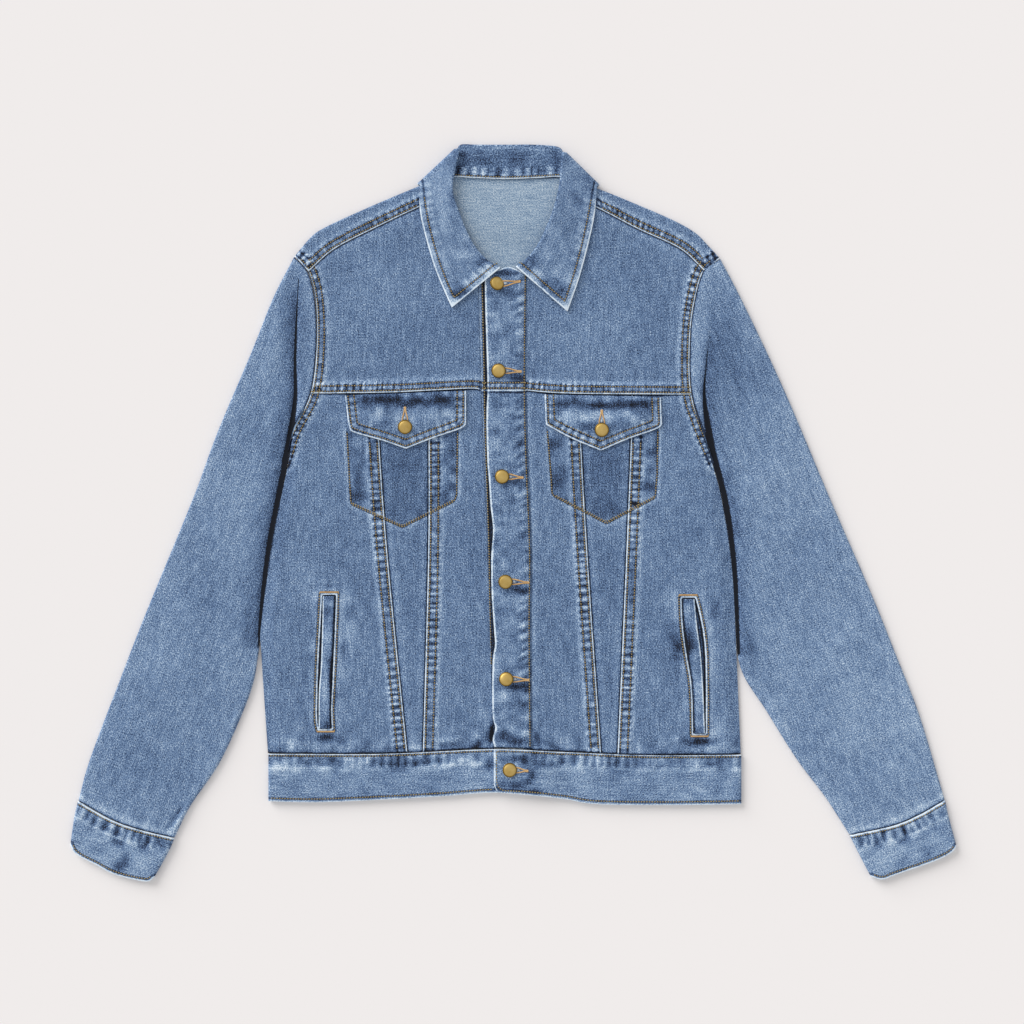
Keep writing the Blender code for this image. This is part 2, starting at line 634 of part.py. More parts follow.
for thing in list(bpy.data.objects):
    bpy.data.objects.remove(thing)
jacket = bpy.data.collections.new("denim_jacket")
cutters = bpy.data.collections.new("cutters")
bpy.context.scene.collection.children.link(jacket)
bpy.context.scene.collection.children.link(cutters)

make_back()
for side in ("right", "left"):
    make_front(side)
    make_welt(side)
    make_sleeve(side)
flaps = {side: make_flap(side) for side in ("right", "left")}
placket = make_plackets()
waistband = make_waistband()
make_collar()
for number, spot in enumerate(FRONT_BUTTONS[:-1], start=1):
    make_button(f"button_front_{number}", spot, top_of(spot, DOUBLE), DOUBLE + GAP, placket)
tab_top = TAB + BAND / 2
make_button("button_front_6", FRONT_BUTTONS[-1], tab_top, BAND + GAP, waistband)
for side, spot in POCKET_BUTTONS.items():
    make_button(f"button_pocket_{side}", spot, top_of(spot, DOUBLE), DOUBLE + GAP, flaps[side])
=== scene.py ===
import math

import bmesh
import bpy
import numpy as np
from mathutils import Matrix, Vector
from mathutils.bvhtree import BVHTree


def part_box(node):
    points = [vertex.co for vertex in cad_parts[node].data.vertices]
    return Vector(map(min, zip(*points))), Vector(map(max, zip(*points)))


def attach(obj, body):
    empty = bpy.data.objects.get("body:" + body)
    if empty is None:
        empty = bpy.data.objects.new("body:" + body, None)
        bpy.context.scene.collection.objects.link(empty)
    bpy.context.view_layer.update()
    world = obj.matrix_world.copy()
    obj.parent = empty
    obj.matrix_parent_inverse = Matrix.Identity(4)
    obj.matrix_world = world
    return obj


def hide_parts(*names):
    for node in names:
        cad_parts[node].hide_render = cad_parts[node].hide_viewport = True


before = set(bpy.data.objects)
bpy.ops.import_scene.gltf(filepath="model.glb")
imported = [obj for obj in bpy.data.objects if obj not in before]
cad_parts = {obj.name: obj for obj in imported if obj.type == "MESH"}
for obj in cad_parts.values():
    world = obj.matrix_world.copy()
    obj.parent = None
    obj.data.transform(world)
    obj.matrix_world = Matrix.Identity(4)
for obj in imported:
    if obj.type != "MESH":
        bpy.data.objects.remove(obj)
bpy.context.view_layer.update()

mm = 0.001  # every length below is in millimetres until it goes into a mesh
far = 99.0  # stands for "nowhere near" in the distances that the cloth carries
print("frame loaded")

cloth = {
    "single": 1.2,  # one ply of denim
    "double": 2.0,  # two plies sewn together
    "collar": 1.8,
    "band": 2.2,
    "gap": 0.3,  # clear space between pieces that lie on each other
    "seamGap": 0.12,  # each side of a seam, in the plane of the cloth
    "hollow": 2.2,  # between the back and the fronts
    "sideSeam": 1.5,  # underside of the fronts at the side seams
    "sideRound": 14.0,
    "unevenness": 0.5,  # how far the fronts rise and fall where nothing holds them
    "edgeRound": 0.35,
}
frontUnder = cloth["single"] + cloth["hollow"]

# outlines as x, y; "right" and "left" are the wearer's, so right is at -X
shoulderFold = {
    "right": [(-229, 269), (-212, 289), (-196, 300), (-148, 322), (-102, 341), (-78, 351)],
    "left": [(217, 267), (205, 280), (191, 294), (168, 307), (129, 324), (91, 339), (64, 348)],
}
shoulderSeam = {
    "right": [(-214, 253), (-188, 276), (-148, 297), (-101, 319), (-81, 328)],
    "left": [(200, 254), (175, 277), (130, 298), (89, 319), (69, 327)],
}
backNeck = [(-78, 351), (-66, 353), (-9, 350), (49, 351), (64, 348)]
armhole = {
    "right": [(-229, 269), (-215, 253), (-207, 221), (-206, 173), (-212, 125), (-229, 87), (-234, 60)],
    "left": [(217, 267), (199, 253), (188, 210), (185, 165), (187, 125), (196, 92), (208, 56)],
}
bodySide = {
    "right": [(-234, 60), (-250, -19), (-264, -116), (-264, -147), (-259, -223), (-257, -252)],
    "left": [(208, 56), (219, 14), (230, -60), (235, -159), (239, -252)],
}
frontNeck = {
    "right": [(-37, 254), (-48, 268), (-62, 292), (-73, 315), (-81, 328)],
    "left": [(7, 252), (22, 264), (38, 288), (52, 314), (69, 327)],
}
chest = {
    "right": [(-214, 125), (-129, 126), (-48, 130), (-34, 129)],
    "left": [(6, 129), (54, 125), (146, 124), (190, 124)],
}
outerStrip = {
    "right": [(-141, 126), (-140, 76), (-131, -48), (-110.5, -253)],
    "left": [(124, 124), (123.5, 76), (118.5, -48), (109.5, -254)],
}
innerStrip = {
    "right": [(-89, 127), (-88.5, 76), (-89, -48), (-94.5, -251)],
    "left": [(71, 125), (71.5, 76), (78.5, -48), (92.5, -253)],
}
frontEdge = {
    "right": [(-37, 254), (-36, 235), (-33.5, 147), (-32, 95), (-26, -48), (-20, -247)],
    "left": [(7, 252), (5.5, 139), (7, 60), (11, -38), (11.5, -247)],
}
placketEdge = [(-28, 250), (-29.5, 236), (-27, 147), (-26.7, 127), (-27.8, 104), (-27, 58), (-25.2, 34),
               (-23.6, 8), (-20.9, -18), (-22.8, -46), (-22.3, -85), (-20, -120), (-18.9, -138),
               (-21.4, -158),
               (-21.5, -209), (-18.7, -225), (-21.3, -237), (-19.0, -246)]
placketRow = [(-33.1, 254), (-32.3, 235), (-30.2, 147), (-29.5, 100), (-26.6, 8), (-24.9, -48),
              (-24.3, -90),
              (-23.2, -137), (-23, -159)]
placketSeam = [(14.5, 250), (13.5, 139), (15, 60), (19, -38), (18.5, -119), (19.5, -246)]
underEnd = [(3, 250), (2, 139), (4, 60), (8, -38), (8, -246)]
flap = {
    "right": {
        "top": [(-176, 123), (-129, 125), (-49, 128)],
        "outer": [(-171, 88), (-173, 97), (-176, 123)],
        "inner": [(-49, 93), (-49, 128)],
        "fall": [(-171, 88), (-166, 84), (-135, 75), (-112, 67)],
        "climb": [(-112, 67), (-84, 78), (-55, 88), (-49, 93)],
    },
    "left": {
        "top": [(33, 124), (93, 123), (155, 121)],
        "outer": [(156, 93), (155, 121)],
        "inner": [(35, 92), (34, 97), (33, 124)],
        "fall": [(35, 92), (61, 78), (92, 65)],
        "climb": [(92, 65), (120, 77), (151, 88), (156, 93)],
    },
}
bandTop = [(-258, -252), (-135, -252), (-20, -247), (51, -250), (140, -253.5), (240, -253)]
bandBottom = [(-258, -302), (-204, -303), (-131, -300), (-78, -297), (-20, -293), (24, -296), (56, -300),
              (88, -305), (164, -306), (240, -305)]
sleeveSide = {
    "right": {
        "outer": [(-229, 269), (-251, 226), (-274, 169), (-310, 84), (-336, 14), (-385, -105), (-413, -177),
                  (-444, -259), (-456, -302)],
        "inner": [(-233.4, 60), (-243.0, 14), (-251.1, -30), (-258.1, -72), (-263.7, -116), (-267.2, -150),
                  (-276, -190), (-306, -259), (-338, -307), (-355, -341)],
    },
    "left": {
        "outer": [(217, 267), (236, 231), (266, 169), (293, 109), (333, 14), (376, -85), (401, -147),
                  (427, -214), (453, -301)],
        "inner": [(207.4, 56), (218.6, 14), (228.7, -50), (233.1, -110), (238.8, -163), (266, -208),
                  (298, -259),
                  (328, -299), (353, -338)],
    },
}
cuff = {
    "right": {
        "seam": [(-456, -302), (-422, -321), (-395, -331), (-355, -341)],
        "edge": [(-464, -347), (-458, -357), (-436, -369), (-416, -379), (-385, -386), (-376, -382)],
        "outer": [(-456, -302), (-460, -319), (-464, -347)],
        "inner": [(-355, -341), (-361, -355), (-376, -382)],
    },
    "left": {
        "seam": [(453, -301), (425, -317), (398, -328), (353, -338)],
        "edge": [(465, -349), (459, -356), (441, -365), (401, -379), (387, -384), (375, -381)],
        "outer": [(453, -301), (457, -319), (465, -349)],
        "inner": [(353, -338), (361, -354), (375, -381)],
    },
}


def ease(t):  # 0 to 1, level at both ends
    t = np.clip(t, 0.0, 1.0)
    return t * t * (3 - 2 * t)


def bell(t):
    return np.exp(-t * t)


def smooth(points, steps=8):  # close points on a smooth line through the given ones
    p = np.array(points, float)
    if len(p) == 2:
        return p
    p = np.concatenate([[2 * p[0] - p[1]], p, [2 * p[-1] - p[-2]]])
    line = []
    for a, b, c, d in zip(p, p[1:], p[2:], p[3:]):
        for t in np.arange(steps) / steps:
            line.append(0.5 * (2 * b + (c - a) * t + (2 * a - 5 * b + 4 * c - d) * t**2
                               + (3 * b - 3 * c + d - a) * t**3))
    return np.concatenate([line, [p[-2]]])


def spaced(line, count):  # count + 1 points at equal steps along a line
    steps = np.linalg.norm(np.diff(line, axis=0), axis=1)
    along = np.concatenate([[0.0], np.cumsum(steps)])
    at = np.linspace(0, along[-1], count + 1)
    return np.stack([np.interp(at, along, line[:, k]) for k in range(line.shape[1])], axis=1)


def clipped(line, low, high, axis=1):  # the stretch of a line between two heights, or widths for axis 0
    turned = line if line[-1, axis] > line[0, axis] else line[::-1]
    value, other = np.maximum.accumulate(turned[:, axis]), turned[:, 1 - axis]
    stops = np.concatenate([[low], value[(value > low) & (value < high)], [high]])
    across = np.interp(stops, value, other)
    return np.stack((across, stops) if axis == 1 else (stops, across), axis=1)


def filled(bottom, top, left, right, step, fade=1):  # a grid of points between four sides, about step apart
    width = np.linalg.norm(np.diff(bottom, axis=0), axis=1).sum()
    widthTop = np.linalg.norm(np.diff(top, axis=0), axis=1).sum()
    length = np.linalg.norm(np.diff(left, axis=0), axis=1).sum()
    columns, rows = round(max(width, widthTop) / step), round(length / step)
    bottom, top = spaced(bottom, columns), spaced(top, columns)
    left, right = spaced(left, rows)[:, None], spaced(right, rows)[:, None]
    u = np.linspace(0, 1, columns + 1)[None, :, None]
    v = np.linspace(0, 1, rows + 1)[:, None, None]
    straight = (1 - u) * left + u * right
    return straight + (1 - v) ** fade * (bottom - straight[0]) + v**fade * (top - straight[-1])


def beside(line, by):  # the line moved to the left of the way that it runs
    way = np.gradient(line, axis=0)
    way /= np.linalg.norm(way, axis=1, keepdims=True)
    return line + by * np.stack([-way[:, 1], way[:, 0]], axis=1)


def inset(grid, by=cloth["seamGap"]):  # the border moved inwards, which leaves the gap at a seam
    moved = grid.copy()
    for edge, inner in ((np.s_[0], np.s_[1]), (np.s_[-1], np.s_[-2]),
                        (np.s_[:, 0], np.s_[:, 1]), (np.s_[:, -1], np.s_[:, -2])):
        way = grid[inner] - grid[edge]
        moved[edge] += by * way / np.linalg.norm(way, axis=-1, keepdims=True)
    return moved


def toLine(spots, line):  # distance from a line, how far along it, and the side (1 to its left)
    best = np.full(spots.shape[:-1], 1e9)
    along = np.zeros_like(best)
    side = np.ones_like(best)
    run = 0.0
    for a, b in zip(line, line[1:]):
        way = b - a
        length = max(np.linalg.norm(way), 1e-6)
        off = spots - a
        t = np.clip(off @ way / length**2, 0, 1)
        gap = np.linalg.norm(off - t[..., None] * way, axis=-1)
        nearer = gap < best
        turn = way[0] * off[..., 1] - way[1] * off[..., 0]
        best[nearer] = gap[nearer]
        along[nearer] = run + (t * length)[nearer]
        side[nearer] = np.where(turn < 0, -1.0, 1.0)[nearer]
        run += length
    return best, along, side


def patchy(x, y, size, seed):  # soft uneven patches of about that size, from -1 to 1
    table = np.random.RandomState(seed).uniform(-1, 1, (64, 64))
    x, y = np.asarray(x) / size + 31, np.asarray(y) / size + 31
    column, row = np.floor(x).astype(int), np.floor(y).astype(int)
    u, v = ease(x - column), ease(y - row)
    corner = [table[(row + j) % 64, (column + i) % 64] for j in (0, 1) for i in (0, 1)]
    return (1 - v) * ((1 - u) * corner[0] + u * corner[1]) + v * ((1 - u) * corner[2] + u * corner[3])


def patches(spots, size, seed):
    return patchy(spots[..., 0], spots[..., 1], size, seed)

# the collar's leaf, folded under the back yoke, lifts what lies over it
leafLift = {"height": 2.3, "middle": (-5.0, 306.0), "halfWidth": 101.0, "fade": 34.0}


def rise(x, y):
    fade = leafLift["fade"]
    across = ease((leafLift["halfWidth"] + fade - np.abs(x - leafLift["middle"][0])) / fade)
    return leafLift["height"] * across * ease((y - leafLift["middle"][1] + fade) / fade)


sideLine = {side: smooth(bodySide[side]) for side in bodySide}


def frontHeight(x, y):  # underside of the fronts, which come down to the back at the side seams
    side = "right" if np.mean(x) < 0 else "left"
    line = sideLine[side]
    seam = np.interp(y, line[::-1, 1], line[::-1, 0])
    inwards = 1 if side == "right" else -1
    away = inwards * (x - seam) + np.maximum(y - line[0, 1], 0)
    up = ease(away / cloth["sideRound"])
    swell = cloth["unevenness"] * (0.5 + 0.5 * patchy(x, y, 55, 3)) * ease(away / 60)
    return cloth["sideSeam"] + (frontUnder - cloth["sideSeam"]) * up + swell + rise(x, y)


# what a maker's seams do to the cloth: rows of stitches at these distances from the folded edge, how far
# the felled strip stands up, how often it puckers, and how strongly the puckers are picked out: washing has
# faded their ridges, and painted shade darkens their hollows
seamKinds = {
    "felled": {"rows": (2.3, 7.9), "stand": 0.55, "every": 6.6, "pucker": 0.28, "shade": 0.42, "dark": -0.02,
               "halo": 0.15},
    "strip": {"rows": (2.5, 10.3), "stand": 0.55, "every": 7.4, "pucker": 0.27, "shade": 0.42, "dark": 0.0,
              "halo": 0.18},
    "flap": {"rows": (3.0, 9.4), "stand": 0.25, "every": 8.0, "pucker": 0.28, "shade": 0.28, "dark": 0.05,
             "halo": 0.03},
    "leaf": {"rows": (6.5,), "stand": 0.20, "every": 8.5, "pucker": 0.18, "shade": 0.14, "dark": 0.05,
             "halo": -0.04},
    "band": {"rows": (2.2,), "stand": 0.10, "every": 9.5, "pucker": 0.36, "shade": 0.20, "dark": -0.05,
             "halo": 0.10},
    "edge": {"rows": (), "stand": 0.0, "every": 24.0, "pucker": 0.14, "shade": 0.06, "dark": 0.03,
             "halo": 0.0},
}
plainRow = {"placket": 1.7, "bandTop": 2.4, "hem": 3.4, "neck": 1.9, "cuff": 3.0}  # rows, from the edge


def flapOutline(side):
    parts = [smooth(flap[side][name]) for name in ("outer", "fall", "climb", "inner")]
    if side == "right":
        return np.concatenate([parts[0][::-1], parts[1], parts[2], parts[3]])
    return np.concatenate([parts[3][::-1], parts[1], parts[2], parts[0]])


armpit = {"right": [(-230.5, 88), (-241, 55)], "left": [(197.5, 92), (214, 52)]}  # where that seam runs off
seams = {}  # name: line, kind, and the side of the line that the folded edge and its stitches are on
for side, sign in (("right", 1), ("left", -1)):
    seams["armhole " + side] = (smooth(armhole[side][:-2] + armpit[side]), "felled", sign)
    seams["chest " + side] = (smooth(chest[side]), "felled", 1)
    seams["shoulder " + side] = (smooth(shoulderSeam[side]), "felled", sign)
    seams["outer " + side] = (smooth(outerStrip[side]), "strip", -sign)
    seams["inner " + side] = (smooth(innerStrip[side]), "strip", sign)
    seams["flap " + side] = (flapOutline(side), "flap", 1)
    seams["cuff " + side] = (smooth(cuff[side]["seam"]), "band", -sign)
seams["placket edge"] = (smooth(placketEdge), "edge", 1)
seams["placket seam"] = (smooth(placketSeam), "edge", -1)
seams["under edge"] = (smooth(frontEdge["right"]), "edge", 1)
seams["band top"] = (smooth(bandTop), "band", -1)


def puckers(along, every, phase):  # uneven waves along a seam, from -1 to 1
    slow = 0.34 * np.sin(along / 21 + phase) + 0.2 * np.sin(along / 8.3 + 2 * phase)
    wave = np.sin(2 * np.pi * (along / every + slow))
    return wave * (0.62 + 0.38 * np.sin(along / 31 + 3 * phase))


def seamLook(spots, lips=(), tucks=()):  # relief and wear that the seams round a piece give it, painted shade in puckers and under tucked edges
    shape = spots.shape[:-1]
    look = {"lift": np.zeros(shape), "washAndShade": np.zeros(shape)}
    look.update({key: np.full(shape, far) for key in ("lip", "tuck", "pale", "dark", "rowA", "rowB", "rowC")})
    for name in lips:
        line, kind, _ = seams[name]
        kind = seamKinds[kind]
        away, along, _ = toLine(spots, line)
        reach = (kind["rows"][-1] if len(kind["rows"]) > 1 else 12.0) + 1.5
        on = 1 - ease((away - reach) / 2.5)
        between = on * ease((away - 0.8) / 1.5)
        wave = puckers(along, kind["every"], len(name) + line[0, 0] * 0.1)
        wave += 0.5 * patches(spots, 4.0, 5)
        look["lift"] = np.maximum(look["lift"], kind["stand"] * on) + kind["pucker"] * wave * between
        # the puckers' ridges faded by washing, their hollows painted dark as shade
        look["washAndShade"] += between * (kind["shade"] * wave + kind["dark"])
        look["washAndShade"] += kind["halo"] * bell((away - reach - 2.2) / 2.4)
        for row in kind["rows"]:
            look["lift"] -= 0.2 * bell((away - row) / 0.9)
        nearer = away < look["lip"]
        for key, row in zip(("rowA", "rowB"), kind["rows"]):
            look[key] = np.where(nearer, away - row, look[key])
        look["lip"] = np.minimum(look["lip"], away)
    for name in tucks:
        line, kind, _ = seams[name]
        away, along, _ = toLine(spots, line)
        look["lift"] -= 0.3 * bell(away / 2.0)
        wave = puckers(along, 9.0, line[0, 1] * 0.1)
        # a painted shadow along the tucked edge, and a rubbed pale halo a little way off
        look["washAndShade"] += (0.06 + 0.05 * wave) * bell((away - 5.0) / 3.5) - 0.04 * bell(away / 2.5)
        look["tuck"] = np.minimum(look["tuck"], away)
    return look


def blots(spots, table):  # soft spots of wear, of dark unfaded dye and of painted shade: x, y, half width, half height, amount
    washAndShade = np.zeros(spots.shape[:-1])
    for x, y, width, height, amount in table:
        washAndShade += amount * np.exp(-((spots[..., 0] - x) / width) ** 2 - ((spots[..., 1] - y) / height) ** 2)
    return washAndShade


def creases(spots, table):  # soft troughs (-) and ridges (+) along x, y to x, y: half width, height, fade; the fade paints troughs dark as shade and ridges pale as highlight
    lift, washAndShade = np.zeros(spots.shape[:-1]), np.zeros(spots.shape[:-1])
    for x0, y0, x1, y1, width, height, fade in table:
        line = np.array([(x0, y0), (x1, y1)], float)
        length = np.linalg.norm(line[1] - line[0])
        away, along, _ = toLine(spots, line)
        ends = ease(along / length / 0.35) * ease((1 - along / length) / 0.35)
        shape = bell(away / width) * ends
        lift += height * shape
        washAndShade += fade * shape
    return lift, washAndShade


def linear(code):  # an sRGB hex value as linear light
    parts = [int(code[i:i + 2], 16) / 255 for i in (1, 3, 5)]
    return [c / 12.92 if c <= 0.04045 else ((c + 0.055) / 1.055) ** 2.4 for c in parts]


def addNode(tree, kind, inputs=None, **settings):  # a node with its settings, its values and its links
    node = tree.nodes.new(kind)
    for name, value in settings.items():
        setattr(node, name, value)
    for socket, value in (inputs or {}).items():
        if isinstance(value, bpy.types.NodeSocket):
            tree.links.new(value, node.inputs[socket])
        else:
            node.inputs[socket].default_value = value
    return node


def maths(tree, operation, *values):  # the result of a Math node
    return addNode(tree, "ShaderNodeMath", dict(enumerate(values)), operation=operation).outputs[0]


def newMaterial(name):  # with its nodes and its shader
    material = bpy.data.materials.new(name)
    material.use_nodes = True
    return material, material.node_tree, material.node_tree.nodes["Principled BSDF"]


def newPiece(name, bm, *materials):
    mesh = bpy.data.meshes.new(name)
    bm.to_mesh(mesh)
    bm.free()
    mesh.shade_smooth()
    for material in materials:
        mesh.materials.append(material)
    piece = bpy.data.objects.new(name, mesh)
    bpy.context.scene.collection.objects.link(piece)
    return piece


denim = {
    # colours of the cloth from its darkest unfaded dye to a bare white edge
    "dye": [(0.0, "#080e1a"), (0.13, "#1f2e4a"), (0.32, "#40577b"), (0.5, "#5e799e"), (0.62, "#7791b4"),
            (0.78, "#9db4ce"), (0.92, "#bfd2e4"), (1.0, "#dce9f5")],
    "level": 0.485,
    # lines that the cloth carries: how near the change starts, where it is full, how pale or dark it is. Lip
    # and pale are rubbed white edges; tuck and dark are painted shadow, and the rows painted shade along the
    # stitches
    "marks": {"lip": (1.9, 0.7, 0.62), "pale": (1.3, 0.5, 0.62), "tuck": (2.2, 0.5, -0.42),
              "dark": (1.5, 0.6, -0.85), "rowA": (1.6, 0.7, -0.36), "rowB": (1.6, 0.7, -0.36),
              "rowC": (1.6, 0.7, -0.36)},
    # thread size across and along the warp, amount and detail of each layer of the weave; real yarns are
    # 0.6 mm apart, and are drawn up to 2 mm apart so that they show
    "weave": [(0.95, 1.5, 1.42, 2), (1.4, 24.0, 0.30, 1), (8.0, 12.0, 0.26, 3), (46.0, 70.0, 0.14, 2)],
    "twill": 2.0,
    "roughness": 0.88,
    "specular": 0.25,
    "sheen": 0.06,
    "sheenRoughness": 0.6,
}
wrongSide = {  # the inside of the cloth, where the white weft shows and the lines run across
    **denim,
    "dye": [(0.0, "#1a2740"), (0.3, "#48617f"), (0.5, "#6a83a0"), (0.68, "#8fa6bd"), (0.85, "#b9c8d5"),
            (1.0, "#d5dde2")],
    "level": 0.67,
    "weave": [(1.5, 1.0, 0.95, 2), (16.0, 1.3, 0.26, 1), (12.0, 8.0, 0.14, 3), (60.0, 60.0, 0.08, 2)],
}


def denimFinish(name, finish):  # cotton twill dyed indigo, stone washed: dull, streaked, white where rubbed
    material, tree, shader = newMaterial(name)
    shader.inputs["Roughness"].default_value = finish["roughness"]
    shader.inputs["Specular IOR Level"].default_value = finish["specular"]
    shader.inputs["Sheen Weight"].default_value = finish["sheen"]
    shader.inputs["Sheen Roughness"].default_value = finish["sheenRoughness"]
    grain = addNode(tree, "ShaderNodeUVMap", uv_map="Grain").outputs["UV"]
    # this attribute carries the wear, the unfaded dye and the painted shade of each piece alike
    fade = addNode(tree, "ShaderNodeAttribute", attribute_name="washAndShade").outputs["Fac"]
    fade = maths(tree, "ADD", fade, finish["level"])
    threads = None
    for index, (across, along, amount, detail) in enumerate(finish["weave"]):
        scaled = addNode(tree, "ShaderNodeMapping", {
            "Vector": grain, "Location": (0.37 * index, 0.61 * index, 0),
            "Scale": (1 / (across * mm), 1 / (along * mm), 1)})
        noise = addNode(tree, "ShaderNodeTexNoise", {
            "Vector": scaled.outputs[0], "Scale": 1.0, "Detail": detail, "Roughness": 0.55},
            noise_dimensions="2D").outputs[0]
        fade = maths(tree, "MULTIPLY_ADD", maths(tree, "SUBTRACT", noise, 0.5), amount, fade)
        threads = threads or noise
    # twill lines climb at 45 degrees; real ones are 0.8 mm apart
    slanted = addNode(tree, "ShaderNodeMapping", {
        "Vector": grain, "Rotation": (0, 0, math.radians(-45)), "Scale": (1 / (finish["twill"] * mm),) * 3})
    twill = addNode(tree, "ShaderNodeTexWave", {
        "Vector": slanted.outputs[0], "Scale": 0.31, "Distortion": 2.5, "Detail": 2,
        "Detail Scale": 0.8}).outputs["Fac"]
    fade = maths(tree, "MULTIPLY_ADD", twill, 0.07, fade)
    fade = maths(tree, "SUBTRACT", fade, 0.035)
    # worn folded edges, the painted shadow line beside them, painted shade along the stitch rows and in folds
    # and slits, and lines that cross a piece
    rubbed = addNode(tree, "ShaderNodeTexNoise", {"Vector": grain, "Scale": 1 / (4.5 * mm), "Detail": 3},
                     noise_dimensions="2D").outputs[0]
    rubbed = addNode(tree, "ShaderNodeMapRange", {
        "Value": rubbed, "From Min": 0.3, "From Max": 0.62, "To Min": 0.5, "To Max": 1.0}).outputs[0]
    for mark, (start, end, amount) in finish["marks"].items():
        value = addNode(tree, "ShaderNodeAttribute", attribute_name=mark).outputs["Fac"]
        value = addNode(tree, "ShaderNodeMapRange", {
            "Value": maths(tree, "ABSOLUTE", value), "From Min": start, "From Max": end},
            interpolation_type="SMOOTHSTEP").outputs[0]
        if amount > 0:
            value = maths(tree, "MULTIPLY", value, rubbed)
        fade = maths(tree, "MULTIPLY_ADD", value, amount, fade)
    ramp = addNode(tree, "ShaderNodeValToRGB", {"Fac": fade})
    stops = ramp.color_ramp.elements
    while len(stops) < len(finish["dye"]):
        stops.new(0.5)
    for stop, (place, code) in zip(stops, finish["dye"]):
        stop.position = place
        stop.color = (*linear(code), 1)
    tree.links.new(ramp.outputs["Color"], shader.inputs["Base Color"])
    height = maths(tree, "MULTIPLY_ADD", twill, 0.5, threads)
    bump = addNode(tree, "ShaderNodeBump", {"Height": height, "Strength": 0.35, "Distance": 0.3 * mm})
    tree.links.new(bump.outputs["Normal"], shader.inputs["Normal"])
    return material

denimMaterial = denimFinish("washed indigo denim twill", denim)
wrongSideMaterial = denimFinish("denim twill wrong side", wrongSide)
print("denim made")


def grainOf(points, turn=0.0):  # across and along the warp, in metres; turn is how far the warp leans
    c, s = math.cos(math.radians(turn)), math.sin(math.radians(turn))
    x, y = points[..., 0], points[..., 1]
    return np.stack([c * x + s * y, c * y - s * x], axis=-1) * mm


sheets = []


def makeSheet(name, node, points, look, wall, offset, grain, slot, inside=1, closed=False, kept=None, **held):
    # a grid of quads through points, given the thickness of the cloth
    rows, columns = points.shape[:2]
    values = {key: look[key] for key in ("lip", "tuck", "washAndShade", "pale", "dark", "rowA", "rowB", "rowC")}
    if closed:
        points, grain = (np.concatenate([a, a[:, :1]], axis=1) for a in (points, grain))
        grain[:, -1] = 2 * grain[:, -2] - grain[:, -3]
        values = {key: np.concatenate([a, a[:, :1]], axis=1) for key, a in values.items()}
        columns += 1
    bm = bmesh.new()
    bmesh.ops.create_grid(bm, x_segments=columns - 1, y_segments=rows - 1, size=0.5)
    layers = {key: bm.verts.layers.float.new(key) for key in values}
    warp = bm.loops.layers.uv.new("Grain")
    place = {}
    for vert in bm.verts:
        place[vert] = (round((vert.co.y + 0.5) * (rows - 1)), round((vert.co.x + 0.5) * (columns - 1)))
    for face in bm.faces:
        for loop in face.loops:
            loop[warp].uv = grain[place[loop.vert]]
    for vert, spot in place.items():
        vert.co = points[spot] * mm
        for key, layer in layers.items():
            vert[layer] = values[key][spot]
    if kept is not None:
        bmesh.ops.delete(bm, geom=[v for v, spot in place.items() if not kept[spot]], context="VERTS")
    bmesh.ops.remove_doubles(bm, verts=bm.verts, dist=1e-7)
    outer = wrongSideMaterial if inside == -1 else denimMaterial
    inner = wrongSideMaterial if inside == 1 else denimMaterial
    piece = newPiece(name, bm, outer, inner)
    mesh = piece.data
    upper = [face for face in mesh.polygons if face.center.z > points[..., 2].mean() * mm]
    if closed and sum(face.normal.z * face.area for face in upper) < 0:
        mesh.flip_normals()
    shell = piece.modifiers.new("Thickness", "SOLIDIFY")
    shell.thickness = wall * mm
    shell.offset = offset
    shell.material_offset = 1
    soften = piece.modifiers.new("Worn edges", "BEVEL")
    soften.width = cloth["edgeRound"] * mm
    soften.segments = 2
    soften.limit_method = "ANGLE"
    soften.angle_limit = math.radians(55)
    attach(piece, "root")
    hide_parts(node)
    flat = held.pop("flat", None) or tuple(np.ptp(points[..., k]) * mm for k in (0, 1))
    sheets.append(piece)


def panel(node, plan, height, wall, look, slot="denim", **held):
    # a flat piece from its plan, its underside at a height
    plan = inset(plan)
    under = height(plan[..., 0], plan[..., 1]) + look["lift"]
    makeSheet(node + "_cloth", node, np.dstack([plan, under]), look, wall, 1, grainOf(plan), slot, **held)


# the fronts and yokes
# pale rubbed spots, dark unfaded dye, and painted shadow below the pocket bartacks and round the welts
frontWearAndShade = [
    (172, -138, 6, 8, -0.36), (168, -128, 7, 4, -0.20), (174, -152, 6, 4, -0.20), (170, -118, 4, 5, -0.12),
    (195, -240, 11, 3.5, -0.42), (178, -238, 6, 3, -0.16), (216, -226, 6, 12, 0.14),
    (212, -100, 5, 10, -0.10),
    (211, -140, 6, 14, 0.08), (164, -92, 6, 10, 0.12), (-178, -140, 4, 9, -0.16),
    (-172, -128, 10, 14, 0.14),
    (-197, -236, 10, 3, -0.34), (-176, -88, 6, 12, 0.14), (-208, -84, 8, 10, 0.10),
    (-196, -77, 12, 3, -0.16),
    (-150, 235, 34, 24, 0.05), (-60, 190, 30, 45, -0.04), (80, 190, 40, 40, 0.03),
    (140, 200, 30, 40, -0.02),
    (-240, 10, 10, 60, -0.05), (225, -10, 10, 70, -0.04), (-60, -40, 30, 60, -0.02),
    (50, -60, 30, 80, -0.02),
    (-225, -60, 16, 30, 0.04), (205, -60, 16, 30, 0.05),
]
pocketBag = {  # the line of stitches that holds each chest pocket's bag
    "right": [(-174, 84), (-171.5, 40), (-170, 13), (-169, 9), (-116, -15), (-62, 12), (-59, 18),
              (-58, 84)],
    "left": [(36, 86), (39, 50), (41, 20), (44, 17), (98, -11), (149, 16), (151, 40), (152, 86)],
}
